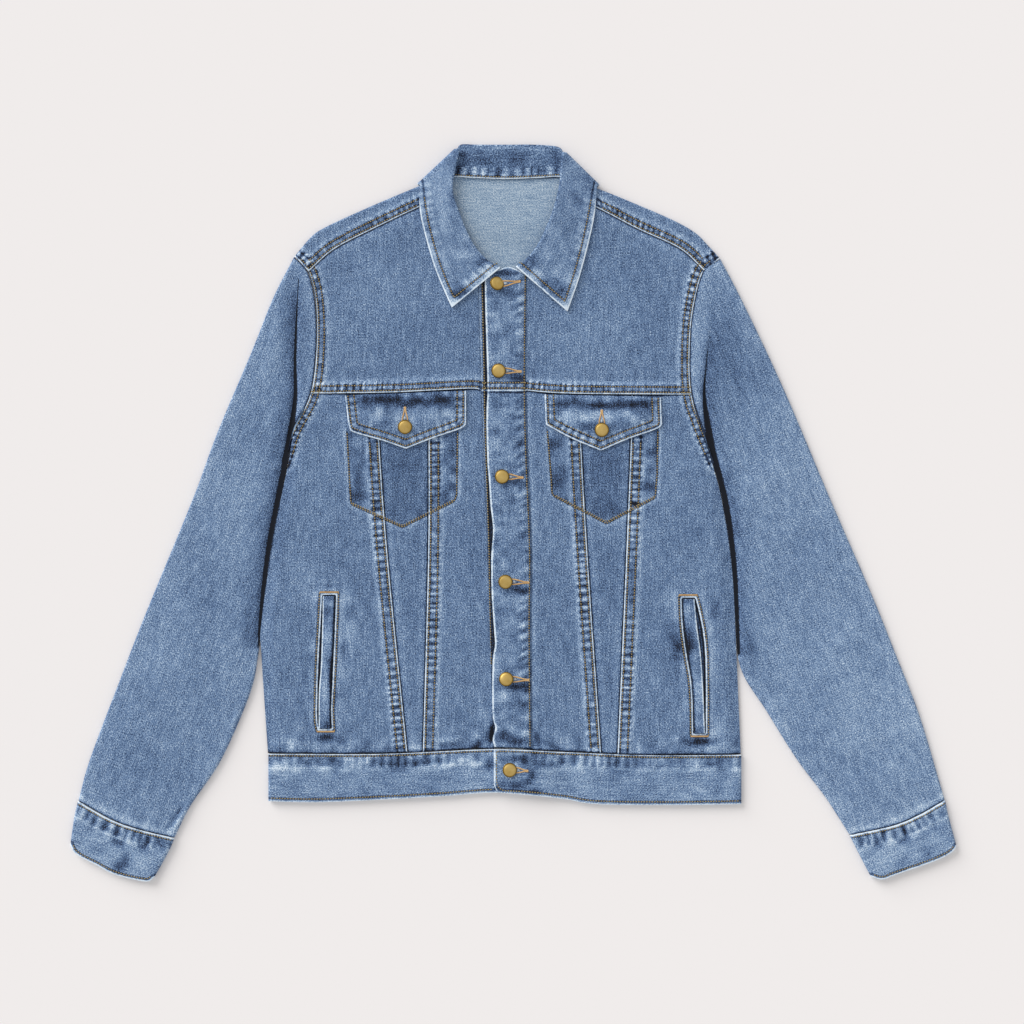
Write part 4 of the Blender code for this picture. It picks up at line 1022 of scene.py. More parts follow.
def makeSleeve(side):
    away = -1 if side == "right" else 1
    start = beside(smooth(armhole[side]), away * 0.7)
    ring = {name: smooth(line) for name, line in cuff[side].items()}
    end = beside(ring["seam"], -away * 0.8)
    tilt = -20.9 if side == "right" else 21.5
    gap = smooth(sleeveGap[side])

    def sleeveLook(spots, top):
        look = seamLook(spots, [], ["armhole " + side, "cuff " + side])
        lift, washAndShade = creases(spots, sleeveFolds[side])
        edges = np.minimum(toLine(spots, smooth(sleeveSide[side]["outer"]))[0],
                           toLine(spots, smooth(sleeveSide[side]["inner"]))[0])
        look["washAndShade"] += sleeveFade[side] + 0.05 * bell(edges / 9)
        free = ease(edges / 30)
        look["lift"] += lift + free * (0.5 + 0.8 * patches(spots, 48.0, 47))
        look["washAndShade"] += washAndShade + blots(spots, sleeveWearAndShade[side])
        # the fold's painted shadow: signed distance in half widths, so that the finish can draw it sharply
        distance, along, turn = toLine(spots, gap[:, :2])
        run = np.concatenate([[0], np.cumsum(np.linalg.norm(np.diff(gap[:, :2], axis=0), axis=1))])
        half = np.interp(along, run, np.maximum(gap[:, 2], 0.1))
        beyond = (along <= 0) | (along >= run[-1] - 1e-6)
        look["dark"] = np.where(beyond | (half < 0.15), far, turn * distance / np.maximum(half, 0.4))
        look["lift"] -= 2.6 * bell(distance / (half + 1.2)) * ease(half / 1.5)
        below = turn * away > 0  # the fold's outer side lies lower, and is in shade
        grows = ~beyond * ease(along / 40)
        look["washAndShade"] -= np.where(below, 0.20 * bell(distance / 13), 0.12 * bell(distance / 4)) * grows
        look["lift"] -= np.where(below, 0.8 * bell(distance / 10), 0) * grows
        cuffAway, cuffAlong, _ = toLine(spots, ring["seam"])
        look["washAndShade"] += 0.14 * bell((cuffAway - 5) / 4) * (0.7 + patchy(cuffAlong, cuffAway * 0.3, 3.0, 53))
        # painted shadow where the sleeve runs under the cuff
        look["washAndShade"] -= 0.20 * bell(cuffAway / 1.8)
        look["tuck"] = np.where(top > 0, look["tuck"], far)
        return look

    pressedTube(f"sleeve_{side}_cloth", "sleeve_" + side,
                (start, end, smooth(sleeveSide[side]["outer"]), smooth(sleeveSide[side]["inner"])),
                step=3.2, height=4.8, wall=cloth["single"], lookOf=sleeveLook, turn=tilt, slot="denim",
                flat=(0.44, 0.70), rests_on=[])

    def cuffLook(spots, top):
        look = seamLook(spots, ["cuff " + side])
        edge = toLine(spots, ring["edge"])[0]
        seamAway, along, _ = toLine(spots, ring["seam"])
        patch = patchy(along, seamAway * 0.7, 9.0, 59) + 0.6 * patchy(along, seamAway, 5.0, 61)
        look["rowB"] = edge - plainRow["cuff"]
        lift, washAndShade = creases(spots, cuffFolds[side])
        look["washAndShade"] += washAndShade * top + 0.14 * patch * ease((24 - seamAway) / 8) + cuffFade[side]
        look["washAndShade"] += 0.08 * patches(spots, 11.0, 67)
        look["washAndShade"] += 0.13 * bell((seamAway - 14.5) / 1.7) * (0.6 + patchy(along, 0 * along, 12.0, 68))
        look["lift"] += lift + 0.3 * patch * ease((24 - seamAway) / 8) - 0.2 * bell(look["rowB"] / 0.9)
        look["lip"] = np.minimum(np.maximum(look["lip"] - 0.6, 0), edge + 0.1)
        return look

    pressedTube(f"cuff_{side}_cloth", "cuff_" + side,
                (ring["seam"], ring["edge"], ring["outer"], ring["inner"]),
                step=2.0, height=6.2, wall=cloth["double"], lookOf=cuffLook, turn=tilt + 90,
                slot="denim_light", flat=(0.25, 0.052), rests_on=[])


# the waistband: under end, wearer's right, round the side, the back, round the side, and on to its tab
band = {"under": 16.0, "right": -256.5, "left": 239.5, "tab": -20.0, "seamGap": 0.6, "overlap": (62.0, 38.0),
        "step": 2.5}
bandBlots = [
    (-200, -262, 20, 8, 0.06), (-140, -262, 9, 6, -0.30), (-126, -264, 6, 6, -0.24),
    (-98, -261, 12, 5, -0.26),
    (-70, -265, 10, 3, 0.12), (-42, -263, 8, 4, 0.12), (-48, -273, 14, 3, 0.06),
    (-70, -278, 30, 4, -0.05), (-25, -262, 4, 8, -0.30),
    (8, -255, 8, 3, -0.26), (13, -262, 5, 5, -0.24), (20, -274, 3.5, 6, -0.36), (16, -281, 4, 3, -0.24),
    (4, -285, 9, 3.5, -0.34), (23, -291, 9, 2.5, -0.34), (-10, -284, 4, 6, -0.14), (-14, -262, 3, 6, 0.14),
    (28, -262, 6, 5, -0.24), (40, -264, 10, 3, -0.30), (-4, -276, 3, 2, 0.16),
    (46, -269, 12, 2.5, 0.10), (68, -260, 5, 5, 0.06), (88, -266, 8, 3, -0.14), (112, -268, 14, 3, 0.06),
    (170, -262, 10, 6, -0.16), (190, -262, 6, 6, 0.10), (215, -262, 12, 6, -0.10),
]


def makeWaistband():
    wall = cloth["band"]
    front = frontUnder + wall / 2
    tab = front + wall + cloth["gap"] + 0.5
    radius = (front - wall / 2) / 2
    middle = wall / 2 + radius
    right, left = band["right"] + wall / 2 + radius, band["left"] - wall / 2 - radius
    turns = np.radians([30, 60, 90, 120, 150])
    begin, spread = band["overlap"]

    def count(a, b):
        return round(abs(b - a) / band["step"])

    route = [(x, front) for x in np.linspace(band["under"], right, count(band["under"], right))]
    route += [(right - radius * math.sin(t), middle + radius * math.cos(t)) for t in turns]
    route += [(x, wall / 2) for x in np.linspace(right, left, count(right, left) // 3)]
    route += [(left + radius * math.sin(t), middle - radius * math.cos(t)) for t in turns]
    route += [(x, front + (tab - front) * ease((begin - x) / spread))
              for x in np.linspace(left, band["tab"], count(left, band["tab"]))]
    x, z = np.array(route).T
    travelled = np.concatenate([[0], np.cumsum(np.hypot(np.diff(x), np.diff(z)))])
    top, bottom = smooth(bandTop), smooth(bandBottom)
    high = np.interp(x, top[:, 0], top[:, 1]) - band["seamGap"]
    low = np.interp(x, bottom[:, 0], bottom[:, 1])
    nearEnd = np.arange(len(x)) > len(x) * 0.7
    onTab = nearEnd & (x < band["tab"] + 9)
    corner = np.where(onTab, 9 - np.sqrt(np.maximum(81 - (band["tab"] + 9 - x) ** 2, 0)), 0)
    low = low + corner  # the tab's lower corner is round
    shares = np.linspace(0, 1, 22)
    points = np.stack([np.stack([x, high + share * (low - high), z], axis=1) for share in shares])
    plan = points[..., :2]
    look = seamLook(plan, ["band top"])
    bottomAway = plan[..., 1] - low
    patch = patchy(plan[..., 0], plan[..., 1] * 1.3, 13.0, 71) + 0.7 * patches(plan, 6.0, 73)
    near = ease((24 - look["lip"]) / 9)
    look["rowB"] = bottomAway - plainRow["hem"]
    look["washAndShade"] += 0.17 * patch * near + 0.07 * patches(plan, 12.0, 79) + 0.07
    look["washAndShade"] += 1.2 * blots(plan, bandBlots) + 0.05 * bell(bottomAway / 4)
    uneven = 0.6 + patchy(plan[..., 0], 0 * plan[..., 0], 14.0, 81)
    look["washAndShade"] += 0.10 * bell((look["lip"] - 14) / 1.7) * uneven
    look["lift"] += 0.35 * patch * near - 0.2 * bell(look["rowB"] / 0.9)
    look["lip"] = np.minimum(look["lip"], bottomAway + 0.6)
    tabEdge = np.where(nearEnd, x - band["tab"], far)[None, :] * np.ones((len(shares), 1))
    look["lip"] = np.minimum(look["lip"], np.maximum(tabEdge - 0.8, 0))
    isTop = (z > middle).astype(float)
    points[..., 2] += np.clip(look["lift"], -0.3, 0.6) * isTop
    grain = np.stack([plan[..., 1], np.ones((len(shares), 1)) * travelled], axis=-1) * mm
    makeSheet("waistband_cloth", "waistband", points, look, wall, 0, grain, "denim_light", inside=0,
              flat=(1.035, 0.053), rests_on=[])


# the collar: whether a section lies at the back, turns at the side or lies on the front, then its neck
# seam, its roll line and its outer edge
collarSections = [
    ("front", (-16, 251.5), (-13, 256.5), (-64, 215)),
    ("front", (-36, 263), (-28, 266), (-70, 228)),
    ("front", (-55, 284), (-42, 283), (-80, 252)),
    ("front", (-67, 308), (-55, 312), (-89, 280)),
    ("front", (-75, 330), (-63, 341), (-97, 314)),
    ("side", (-75, 347), (-61, 382.5), (-100.5, 345)),
    ("back", (-64, 352), (-54, 386), (-84, 322)),
    ("back", (-38, 351), (-36, 386), (-52, 309)),
    ("back", (-8, 350), (-8, 386), (-6, 307)),
    ("back", (24, 351), (24, 386), (40, 309)),
    ("back", (49, 352), (47, 383.5), (72, 322)),
    ("side", (61, 345), (56, 379), (91, 344)),
    ("front", (63, 326), (48, 341), (85, 310)),
    ("front", (51, 306), (40, 312), (78, 278)),
    ("front", (39, 283), (27, 283), (69, 245)),
    ("front", (22, 263), (14, 266), (61, 222)),
    ("front", (6, 252.5), (3, 257.5), (57, 211)),
]
collar = {"turnHeight": 6.5, "edgeHeight": 4.5, "standTurn": 1.8, "leafTurn": 5.5, "edgeTurn": 3.6,
          "clear": 0.6, "fineAlong": 12, "fineAcross": 5}
collarEdges = {}  # each leaf's edge, from the front neck round to the shoulder
for side, start, sections in (("right", (-12, 257.5), collarSections[:6]),
                              ("left", (2, 258.5), collarSections[:10:-1])):
    collarEdges[side] = np.concatenate([[start], smooth([edge for *_, edge in sections])])
    seams["leaf " + side] = (collarEdges[side], "leaf", 1)
seams["neck"] = (smooth([(-72, 353), (-38, 351), (-8, 350), (24, 351), (56, 353)]), "band", 1)
collarWear = [  # tips worn pale, with unfaded dye just inside them
    (-64, 219, 7, 6, 0.40), (56, 215, 7, 6, 0.36), (-58, 232, 7, 7, -0.36), (-46, 231, 8, 4, -0.30),
    (47, 232, 9, 7, -0.36), (33, 240, 9, 5, -0.28), (-34, 251, 9, 6, 0.28), (-44, 244, 6, 5, 0.12),
    (-24, 255, 6, 5, 0.18), (22, 250, 7, 5, 0.14), (44, 252, 8, 8, 0.08), (-50, 266, 8, 12, 0.08),
    (20, 264, 6, 6, -0.20), (14, 259, 5, 4, -0.20), (-32, 262, 5, 4, -0.26), (-27, 266, 4, 5, -0.2),
    (-74, 296, 12, 24, 0.06), (-80, 336, 10, 10, 0.08), (75, 330, 14, 24, -0.06), (60, 240, 5, 14, 0.10),
    (-8, 370, 60, 12, -0.18), (-50, 372, 4, 14, -0.16), (44, 370, 4, 14, -0.14), (-8, 383, 50, 3, 0.10),
]


def flatSection(place, seam, roll, edge):
    onTop = place == "front"
    up = (roll - edge) / np.linalg.norm(roll - edge)
    step = collar["leafTurn"] - collar["standTurn"]
    top = roll - up * (step / 2 + cloth["collar"] / 2)
    turned = 1 if onTop else -1
    stand = collar["turnHeight"] - leafLift["height"] + turned * collar["standTurn"]
    standTop = np.array([*top, stand + rise(*top)])
    leafTop = standTop + np.array([0, 0, turned * step])
    onYoke = frontUnder + cloth["single"] + cloth["gap"] + cloth["unevenness"] + collar["clear"]
    edgeHeight = onYoke + cloth["collar"] / 2 + rise(*edge) if onTop else cloth["collar"] / 2
    base = np.array([*seam, stand + rise(*seam)])
    return base, standTop, leafTop, np.array([*edge, edgeHeight]), np.array([*up, 0.0])


def turnedSection(turn, seam, roll, edge):  # where the collar turns from the back to the front
    centre = np.array(leafLift["middle"])

    def around(point, way, radius, height):
        out = np.array([*way, 0.0]) * math.cos(turn) + np.array([0, 0, math.sin(turn)])
        return np.array([*(point - way * (radius + cloth["collar"] / 2)), height]) + out * radius

    def outwards(a, b):
        way = b - a
        normal = np.array([-way[1], way[0]]) / np.linalg.norm(way)
        return normal if np.dot(normal, a - centre) > 0 else -normal

    leafWay, standWay = outwards(edge, roll), outwards(seam, roll)
    up = (roll - seam) / np.linalg.norm(roll - seam) + (roll - edge) / np.linalg.norm(roll - edge)
    up /= np.linalg.norm(up)
    step = collar["leafTurn"] - collar["standTurn"]
    top = roll - up * (step + cloth["collar"]) / 2
    leafTop = around(top, leafWay, collar["leafTurn"], collar["turnHeight"])
    standTop = around(top - leafWay * step, leafWay, collar["standTurn"], collar["turnHeight"])
    base = around(seam, standWay, collar["standTurn"], collar["turnHeight"])
    edgeSpot = around(edge, leafWay, collar["edgeTurn"], collar["edgeHeight"])
    return base, standTop, leafTop, edgeSpot, np.array([*up, 0.0])


def makeCollar():
    sections = []
    for index, (place, *ends) in enumerate(collarSections):
        seam, roll, edge = (np.array(p, float) for p in ends)
        if place != "side":
            sections.append(flatSection(place, seam, roll, edge))
            continue
        turning = np.radians([-90, -45, 0, 45, 90])
        if index < len(collarSections) / 2:
            turning = turning[::-1]
        sections += [turnedSection(turn, seam, roll, edge) for turn in turning]
    rows = []
    for base, stand, leaf, edge, up in sections:
        middle, half = (stand + leaf) / 2, (leaf - stand) / 2
        reach = np.linalg.norm(half)
        row = [base, (base + stand) / 2, stand]
        row += [middle - half * math.cos(t) + up * reach * math.sin(t) for t in np.radians([45, 90, 135])]
        row += [leaf, leaf + (edge - leaf) / 3, leaf + (edge - leaf) * 2 / 3, edge]
        rows.append(smooth(row, collar["fineAcross"]))
    points = smooth(np.array(rows), collar["fineAlong"])
    plan = points[..., :2]
    onLeaf = np.arange(points.shape[1]) >= 5 * collar["fineAcross"]
    isFront = points[..., 2] > collar["turnHeight"] - 1
    look = seamLook(plan, ["leaf right", "leaf left"])
    for key in look:
        look[key] = np.where(onLeaf[None, :] & isFront, look[key], 0.0 if key in ("lift", "washAndShade") else far)
    stand = np.arange(points.shape[1]) < 3 * collar["fineAcross"]
    neckAway, along, _ = toLine(plan, seams["neck"][0])
    bars = puckers(along, 10.0, 0.7) + 0.5 * patchy(along, neckAway * 0.4, 4.0, 82)
    bars *= ease((13.5 - neckAway) / 5) * ease(neckAway / 2)
    atBack = stand[None, :] & (plan[..., 1] > 344)
    look["rowB"] = np.where(atBack, neckAway - plainRow["neck"], far)
    look["lip"] = np.where(atBack, np.minimum(look["lip"], neckAway), look["lip"])
    look["washAndShade"] += np.where(atBack, 0.5 * bars - 0.02, 0)
    look["washAndShade"] += blots(plan, collarWear) * (onLeaf[None, :] | atBack) * (isFront | atBack)
    look["washAndShade"] += 0.09 * patches(plan, 9.0, 83) + 0.05
    look["washAndShade"] += 0.14 * bell(look["lip"] / 3.2)
    rollAway = np.abs(np.arange(points.shape[1]) - 4 * collar["fineAcross"])[None, :]
    # a painted highlight along the roll
    look["washAndShade"] += 0.03 * bell(rollAway / 3.0)
    look["lift"] = look["lift"] * isFront + 0.35 * isFront * onLeaf[None, :] * patches(plan, 22.0, 89)
    points[..., 2] += look["lift"]
    step = np.linalg.norm(np.diff(points, axis=0), axis=-1).mean(axis=1)
    along = np.concatenate([[0], np.cumsum(step)])[:, None] * np.ones((1, points.shape[1]))
    across = np.linalg.norm(np.diff(points, axis=1), axis=-1).mean(axis=0)
    across = np.concatenate([[0], np.cumsum(across)])[None, :] * np.ones((points.shape[0], 1))
    grain = np.stack([across, along], axis=-1) * mm
    makeSheet("collar_cloth", "collar", points, look, cloth["collar"], 0, grain, "denim_light", inside=0,
              flat=(0.50, 0.125), rests_on=["front_yoke_right_cloth", "front_yoke_left_cloth"])


makeBack()
for side in ("right", "left"):
    makeFront(side)
    makeFlap(side)
    makeWelt(side)
    makeSleeve(side)
makePlackets()
makeWaistband()
makeCollar()
print("cloth made")

# the thread: each stitch is a small ellipsoid that lies on the cloth
thread = {"pitch": 2.8, "length": 2.05, "width": 1.5, "height": 0.9, "tilt": 12.0}


def threadFinish(name, code, darker):  # spun polyester topstitching thread: a soft satin twist
    material, tree, shader = newMaterial(name)
    shader.inputs["Roughness"].default_value = 0.55
    place = addNode(tree, "ShaderNodeTexCoord").outputs["Object"]
    noise = addNode(tree, "ShaderNodeTexNoise", {"Vector": place, "Scale": 1 / (6 * mm), "Detail": 2})
    mix = addNode(tree, "ShaderNodeMix", {"Factor": noise.outputs[0]}, data_type="RGBA")
    mix.inputs[6].default_value = (*linear(darker), 1)
    mix.inputs[7].default_value = (*linear(code), 1)
    tree.links.new(mix.outputs[2], shader.inputs["Base Color"])
    return material


tanThread = threadFinish("tan topstitching thread", "#b5a272", "#776848")
goldThread = threadFinish("gold buttonhole thread", "#e3c08a", "#b98c50")
bareCotton, _, shader = newMaterial("bare cotton warp")  # the frayed white threads inside a cut buttonhole
shader.inputs["Base Color"].default_value = (*linear("#b3c0cc"), 1)

graph = bpy.context.evaluated_depsgraph_get()
surfaces = [BVHTree.FromObject(piece, graph) for piece in sheets]
random = np.random.RandomState(7)


def onCloth(x, y):  # the top of the cloth there, and the way that it faces
    best = None
    for tree in surfaces:
        spot, normal, _, _ = tree.ray_cast(Vector((x * mm, y * mm, 0.05)), Vector((0, 0, -1)))
        if spot is not None and (best is None or spot.z > best[0].z):
            best = (spot, normal)
    return best


def layStitch(bm, x, y, way, length, width, height):
    hit = onCloth(x, y)
    if hit is None:
        return
    spot, normal = hit
    along = Vector((way[0], way[1], 0))
    along = (along - normal * along.dot(normal)).normalized()
    turn = Matrix((along, normal.cross(along), normal)).transposed().to_4x4()
    size = Matrix.Diagonal((length * mm, width * mm, height * mm, 1))
    bmesh.ops.create_icosphere(bm, subdivisions=1, radius=0.5,
                               matrix=Matrix.Translation(spot + normal * height * 0.25 * mm) @ turn @ size)


def sewRow(bm, line):
    steps = np.linalg.norm(np.diff(line, axis=0), axis=1).sum()
    spots = spaced(line, max(round(steps / thread["pitch"]), 1))
    for a, b in zip(spots, spots[1:]):
        way = (b - a) / np.linalg.norm(b - a)
        slant = math.radians(thread["tilt"] + random.uniform(-4, 4))
        c, s = math.cos(slant), math.sin(slant)
        layStitch(bm, *((a + b) / 2), (c * way[0] - s * way[1], s * way[0] + c * way[1]),
                  thread["length"], thread["width"], thread["height"])


def finishThread(name, bm, material):
    piece = newPiece(name, bm, material)
    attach(piece, "root")
    print(f"{name}: {len(piece.data.polygons)} faces")


def rowsOf(name):  # the rows of stitches that run beside a seam
    line, kind, sign = seams[name]
    return [beside(spaced(line, 60), sign * row) for row in seamKinds[kind]["rows"]]


def trimmed(line, start, end):  # a line less so much at each end
    steps = np.concatenate([[0], np.cumsum(np.linalg.norm(np.diff(line, axis=0), axis=1))])
    at = np.linspace(start, steps[-1] - end, 80)
    return np.stack([np.interp(at, steps, line[:, k]) for k in (0, 1)], axis=1)


def cornered(points, by):  # a line with sharp corners moved sideways, its corners kept sharp
    p = np.array(points, float)
    ways = np.diff(p, axis=0)
    ways /= np.linalg.norm(ways, axis=1, keepdims=True)
    sides = np.stack([-ways[:, 1], ways[:, 0]], axis=1)
    moved = [p[0] + by * sides[0]]
    for spot, a, b in zip(p[1:-1], sides, sides[1:]):
        moved.append(spot + by * (a + b) / (1 + a @ b))
    return np.array(moved + [p[-1] + by * sides[-1]])


flapCorners = {"right": [(-171.5, 87), (-112, 67), (-49, 91)], "left": [(34.5, 91), (92, 65), (156, 91)]}
for side in ("right", "left"):
    bm = bmesh.new()
    for line, low in zip(rowsOf(f"armhole {side}"), (77, 61)):
        sewRow(bm, clipped(line, low, armhole[side][0][1] - 3))
    for line in rowsOf(f"chest {side}"):
        sewRow(bm, trimmed(line, 2, 3))
    for line in rowsOf(f"shoulder {side}"):
        sewRow(bm, clipped(line, *((-213, -100) if side == "right" else (93, 199)), axis=0))
    for name, top in (("outer", 74), ("inner", 73)):
        for line in rowsOf(f"{name} {side}"):
            sewRow(bm, clipped(line, -247, top))
    bag = np.array(pocketBag[side], float)
    sewRow(bm, bag)
    sewRow(bm, cornered(bag[3:6], 1.6))
    for line in pocketMouth[side].values():
        sewRow(bm, smooth(line))
    finishThread(f"front_stitches_{side}", bm, tanThread)
    bm = bmesh.new()
    outline = flapOutline(side)
    for row in seamKinds["flap"]["rows"]:
        sewRow(bm, cornered([outline[0], *flapCorners[side], outline[-1]], row))
    finishThread(f"flap_stitches_{side}", bm, tanThread)
    bm = bmesh.new()
    away = plainRow["cuff"] * (1 if side == "right" else -1)
    sewRow(bm, trimmed(rowsOf(f"cuff {side}")[0], 2, 2))
    sewRow(bm, trimmed(beside(spaced(smooth(cuff[side]["edge"]), 60), away), 2, 2))
    finishThread(f"cuff_stitches_{side}", bm, tanThread)

bm = bmesh.new()
sewRow(bm, trimmed(beside(spaced(smooth(placketSeam), 60), -plainRow["placket"]), 0, 1))
sewRow(bm, clipped(smooth(placketRow), -159, 240))
for row in seamKinds["felled"]["rows"]:
    sewRow(bm, np.array([(-33, chestLevel + row), (13, chestLevel + row)]))
finishThread("placket_stitches", bm, tanThread)
bm = bmesh.new()
tabCorner = [(-17.3, -249), (-17.3, -282), (-15.5, -287), (-10.5, -290.5), (8, -291.5)]
bandRows = [  # line, distance from it, and the stretch across
    (bandTop, -plainRow["bandTop"], -255, -21.5), (bandTop, -plainRow["bandTop"], -17, 237),
    (bandBottom, plainRow["hem"], -254, -21.5), (bandBottom, plainRow["hem"], 8, 237),
]
for line, away, start, end in bandRows:
    sewRow(bm, clipped(beside(spaced(smooth(line), 90), away), start, end, axis=0))
sewRow(bm, np.array(tabCorner, float))
finishThread("waistband_stitches", bm, tanThread)
bm = bmesh.new()
for side, line in collarEdges.items():
    away = seamKinds["leaf"]["rows"][0] * (-1 if side == "right" else 1)
    sewRow(bm, cornered(np.concatenate([line[:1], line[1::6]]), away))
sewRow(bm, clipped(beside(spaced(seams["neck"][0], 60), plainRow["neck"]), -61, 49, axis=0))
finishThread("collar_stitches", bm, tanThread)

# bartacks close the ends of the hand pockets
bm = bmesh.new()
for side in ("right", "left"):
    for level in (0, -1):
        start, end = (np.array(pocketMouth[side][name][level], float) for name in ("outer", "inner"))
        for number in range(26):
            spot = start + (end - start) * (number + 0.5) / 26
            layStitch(bm, *spot, (0.25, 1.0), 2.3, 0.8, 0.6)
finishThread("pocket_bartacks", bm, goldThread)
print("stitches made")

# shank buttons and the keyhole buttonholes beside them
button = {
    "profile": [(0, 3.2), (2.4, 3.1), (4.4, 2.85), (5.9, 2.5), (6.4, 2.2), (6.8, 2.3), (7.2, 2.1),
                (7.5, 1.6),
                (7.5, 0.9), (7.1, 0.3), (6.4, 0), (2.4, 0)],
    "rim": 5.6,  # from here out the brass is painted darker as shade on its rim
    "shank": 2.4,
    "steps": 56,
}
frontButtons = [(-17, 240), (-15, 149), (-11.5, 38), (-8, -72), (-7, -174), (-3.5, -269)]
pocketButtons = {"right": (-113, 90), "left": (93, 87)}
holeEnds = [7.5, 8.5, 10.5, 16.5, 16.5, 15.5]
tilts = [(-14, 16), (3, -2), (-2, 3), (2, 4), (-6, -3), (-5, 6), (2, 2), (3, -3)]


def brassFinish():  # stamped brass, tumbled to a satin face: warm, softly mottled, with painted shade on its rim
    material, tree, shader = newMaterial("satin stamped brass")
    shader.inputs["Metallic"].default_value = 1.0
    place = addNode(tree, "ShaderNodeTexCoord").outputs["Object"]
    tarnish = addNode(tree, "ShaderNodeTexNoise", {"Vector": place, "Scale": 1 / (7 * mm), "Detail": 4})
    grit = addNode(tree, "ShaderNodeTexNoise", {"Vector": place, "Scale": 1 / (0.6 * mm), "Detail": 3})
    mix = addNode(tree, "ShaderNodeMix", {"Factor": tarnish.outputs[0]}, data_type="RGBA")
    mix.inputs[6].default_value = (*linear("#b39145"), 1)
    mix.inputs[7].default_value = (*linear("#e6ca86"), 1)
    rim = addNode(tree, "ShaderNodeAttribute", attribute_name="rim").outputs["Fac"]
    # painted shade on the rim, where the edge turns from the light
    shadedRim = addNode(tree, "ShaderNodeMix", {"Factor": rim}, data_type="RGBA")
    tree.links.new(mix.outputs[2], shadedRim.inputs[6])
    shadedRim.inputs[7].default_value = (*linear("#7d6226"), 1)
    tree.links.new(shadedRim.outputs[2], shader.inputs["Base Color"])
    rough = addNode(tree, "ShaderNodeMapRange", {"Value": grit.outputs[0], "To Min": 0.3, "To Max": 0.55})
    tree.links.new(rough.outputs[0], shader.inputs["Roughness"])
    bump = addNode(tree, "ShaderNodeBump", {
        "Height": grit.outputs[0], "Strength": 0.25, "Distance": 0.1 * mm})
    tree.links.new(bump.outputs["Normal"], shader.inputs["Normal"])
    return material


brass = brassFinish()


def makeButton(node, spot, tilt):
    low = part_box(node)[0].z / mm
    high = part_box(node)[1].z / mm
    hit = onCloth(spot[0] + 6, spot[1])
    under = max(high - 3.0, hit[0].z / mm + 0.3)
    bm = bmesh.new()
    profile = button["profile"] + [(button["shank"], low - under), (0, low - under)]
    verts = [bm.verts.new((r * mm, 0, h * mm)) for r, h in profile]
    edges = [bm.edges.new(pair) for pair in zip(verts, verts[1:])]
    bmesh.ops.spin(bm, geom=verts + edges, cent=(0, 0, 0), axis=(0, 0, 1), angle=2 * math.pi,
                   steps=button["steps"], use_merge=True)
    bmesh.ops.remove_doubles(bm, verts=bm.verts, dist=1e-6)
    bmesh.ops.recalc_face_normals(bm, faces=bm.faces)
    rim = bm.verts.layers.float.new("rim")
    for vert in bm.verts:
        vert[rim] = float(ease((math.hypot(vert.co.x, vert.co.y) / mm - button["rim"]) / 1.4))
    head = [v for v in bm.verts if v.co.z > -0.1 * mm]
    lean = Matrix.Rotation(math.radians(tilt[0]), 3, "X") @ Matrix.Rotation(math.radians(tilt[1]), 3, "Y")
    bmesh.ops.rotate(bm, cent=(0, 0, 0), matrix=lean, verts=head)
    bmesh.ops.translate(bm, vec=(spot[0] * mm, spot[1] * mm, under * mm), verts=bm.verts)
    piece = newPiece(node + "_brass", bm, brass)
    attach(piece, "root")
    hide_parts(node)


def sewHole(bm, slits, start, end):  # a keyhole: an eye at the shank that narrows to a closed bar
    start, end = np.array(start, float), np.array(end, float)
    length = np.linalg.norm(end - start)
    way = (end - start) / length
    across = np.array([-way[1], way[0]])
    for number in range(round(length / 0.8)):
        share = (number + 0.5) * 0.8 / length
        half = 0.6 + 2.1 * ease((0.86 - share) / 0.8)
        for sign in (-1, 1):
            spot = start + way * share * length + across * sign * half
            layStitch(bm, *spot, across + way * 0.2, 1.9, 1.05, 0.8)
    layStitch(bm, *end, across, 3.2, 1.8, 0.9)
    layStitch(slits, *(start + way * 2.5), way, 5.5, 2.6, 0.3)


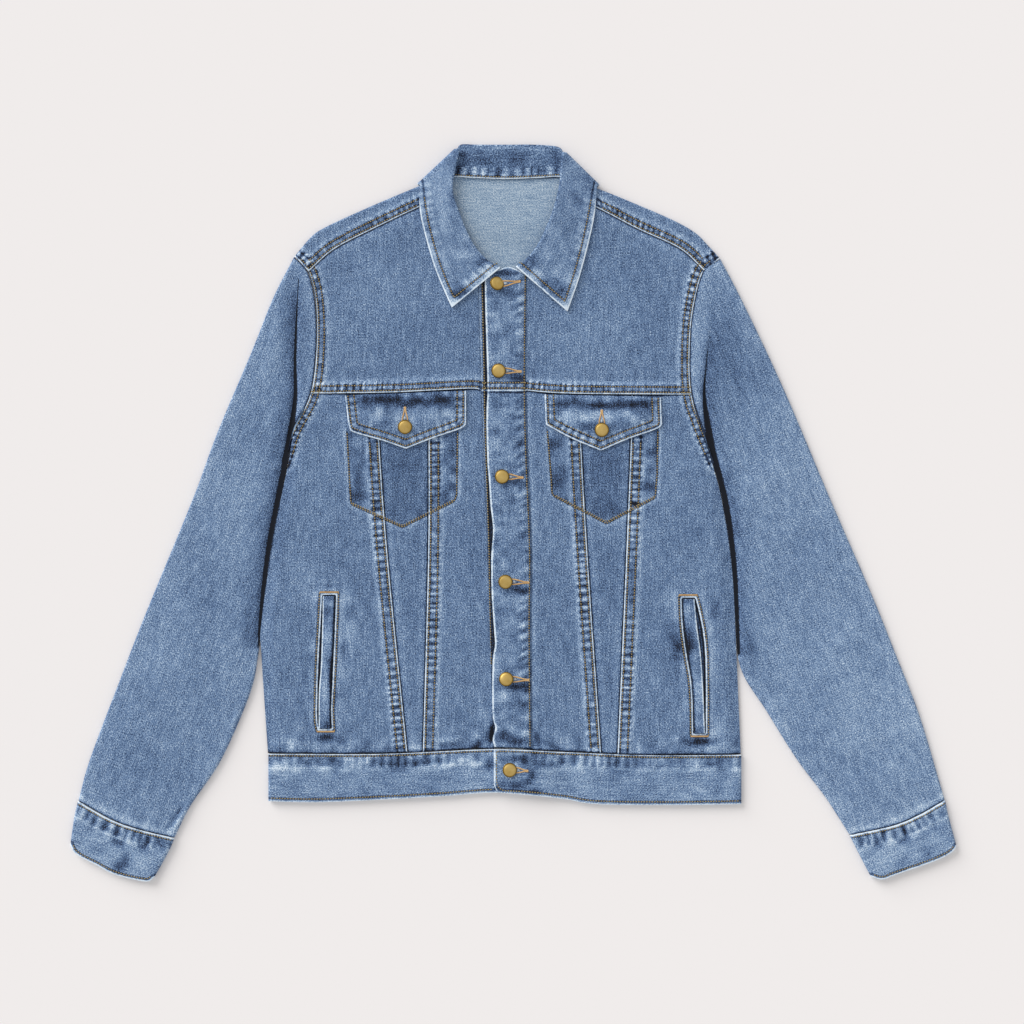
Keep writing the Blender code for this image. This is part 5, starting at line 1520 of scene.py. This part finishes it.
for number, (spot, tilt) in enumerate(zip(frontButtons, tilts), start=1):
    makeButton(f"button_front_{number}", spot, tilt)
for side, tilt in zip(("right", "left"), tilts[6:]):
    makeButton(f"button_pocket_{side}", pocketButtons[side], tilt)
gold, slits = bmesh.new(), bmesh.new()
for (x, y), end in zip(frontButtons, holeEnds):
    sewHole(gold, slits, (x + 6.5, y), (end, y - (1.0 if y < 200 else -2.5)))
for x, y in pocketButtons.values():
    sewHole(gold, slits, (x, y + 6.5), (x, y + 20.5))
finishThread("buttonhole_thread", gold, goldThread)
finishThread("buttonhole_eyes", slits, bareCotton)
print("buttons made")

# floor, light and camera
studio = {
    "floor": "#f1edec",
    "floorSize": 40.0,
    "floorLevel": -0.0004,
    "view": (-0.001, 0.001),
    "width": 1.075,  # of the view at the floor, in metres
    "lens": 85.0,
    "sensor": 36.0,
    "sun": 2.5,
    "sunAngle": 44.0,
    "sunWay": (0.62, -0.62, -0.40),
    "sky": 0.66,
}
bm = bmesh.new()
bmesh.ops.create_grid(bm, x_segments=1, y_segments=1, size=studio["floorSize"])
bmesh.ops.translate(bm, vec=(0, 0, studio["floorLevel"]), verts=bm.verts)
paper, _, shader = newMaterial("pale matt paper")  # even, without any shine
shader.inputs["Base Color"].default_value = (*linear(studio["floor"]), 1)
shader.inputs["Roughness"].default_value = 1.0
shader.inputs["Specular IOR Level"].default_value = 0.0
floor = newPiece("floor", bm, paper)

world = bpy.data.worlds.new("soft box")
bpy.context.scene.world = world
world.use_nodes = True
world.node_tree.nodes["Background"].inputs["Color"].default_value = (1, 1, 1, 1)
world.node_tree.nodes["Background"].inputs["Strength"].default_value = studio["sky"]
sun = bpy.data.lights.new("key", "SUN")
sun.energy = studio["sun"]
sun.angle = math.radians(studio["sunAngle"])
key = bpy.data.objects.new("key", sun)
key.rotation_mode = "QUATERNION"
key.rotation_quaternion = Vector(studio["sunWay"]).to_track_quat("-Z", "Y")
bpy.context.scene.collection.objects.link(key)

lens = bpy.data.cameras.new("overhead")
lens.lens = studio["lens"]
lens.sensor_width = studio["sensor"]
camera = bpy.data.objects.new("overhead", lens)
camera.location = (*studio["view"], studio["width"] * studio["lens"] / studio["sensor"])
bpy.context.scene.collection.objects.link(camera)
bpy.context.scene.camera = camera
bpy.context.scene.view_settings.view_transform = "Standard"
print("studio made")
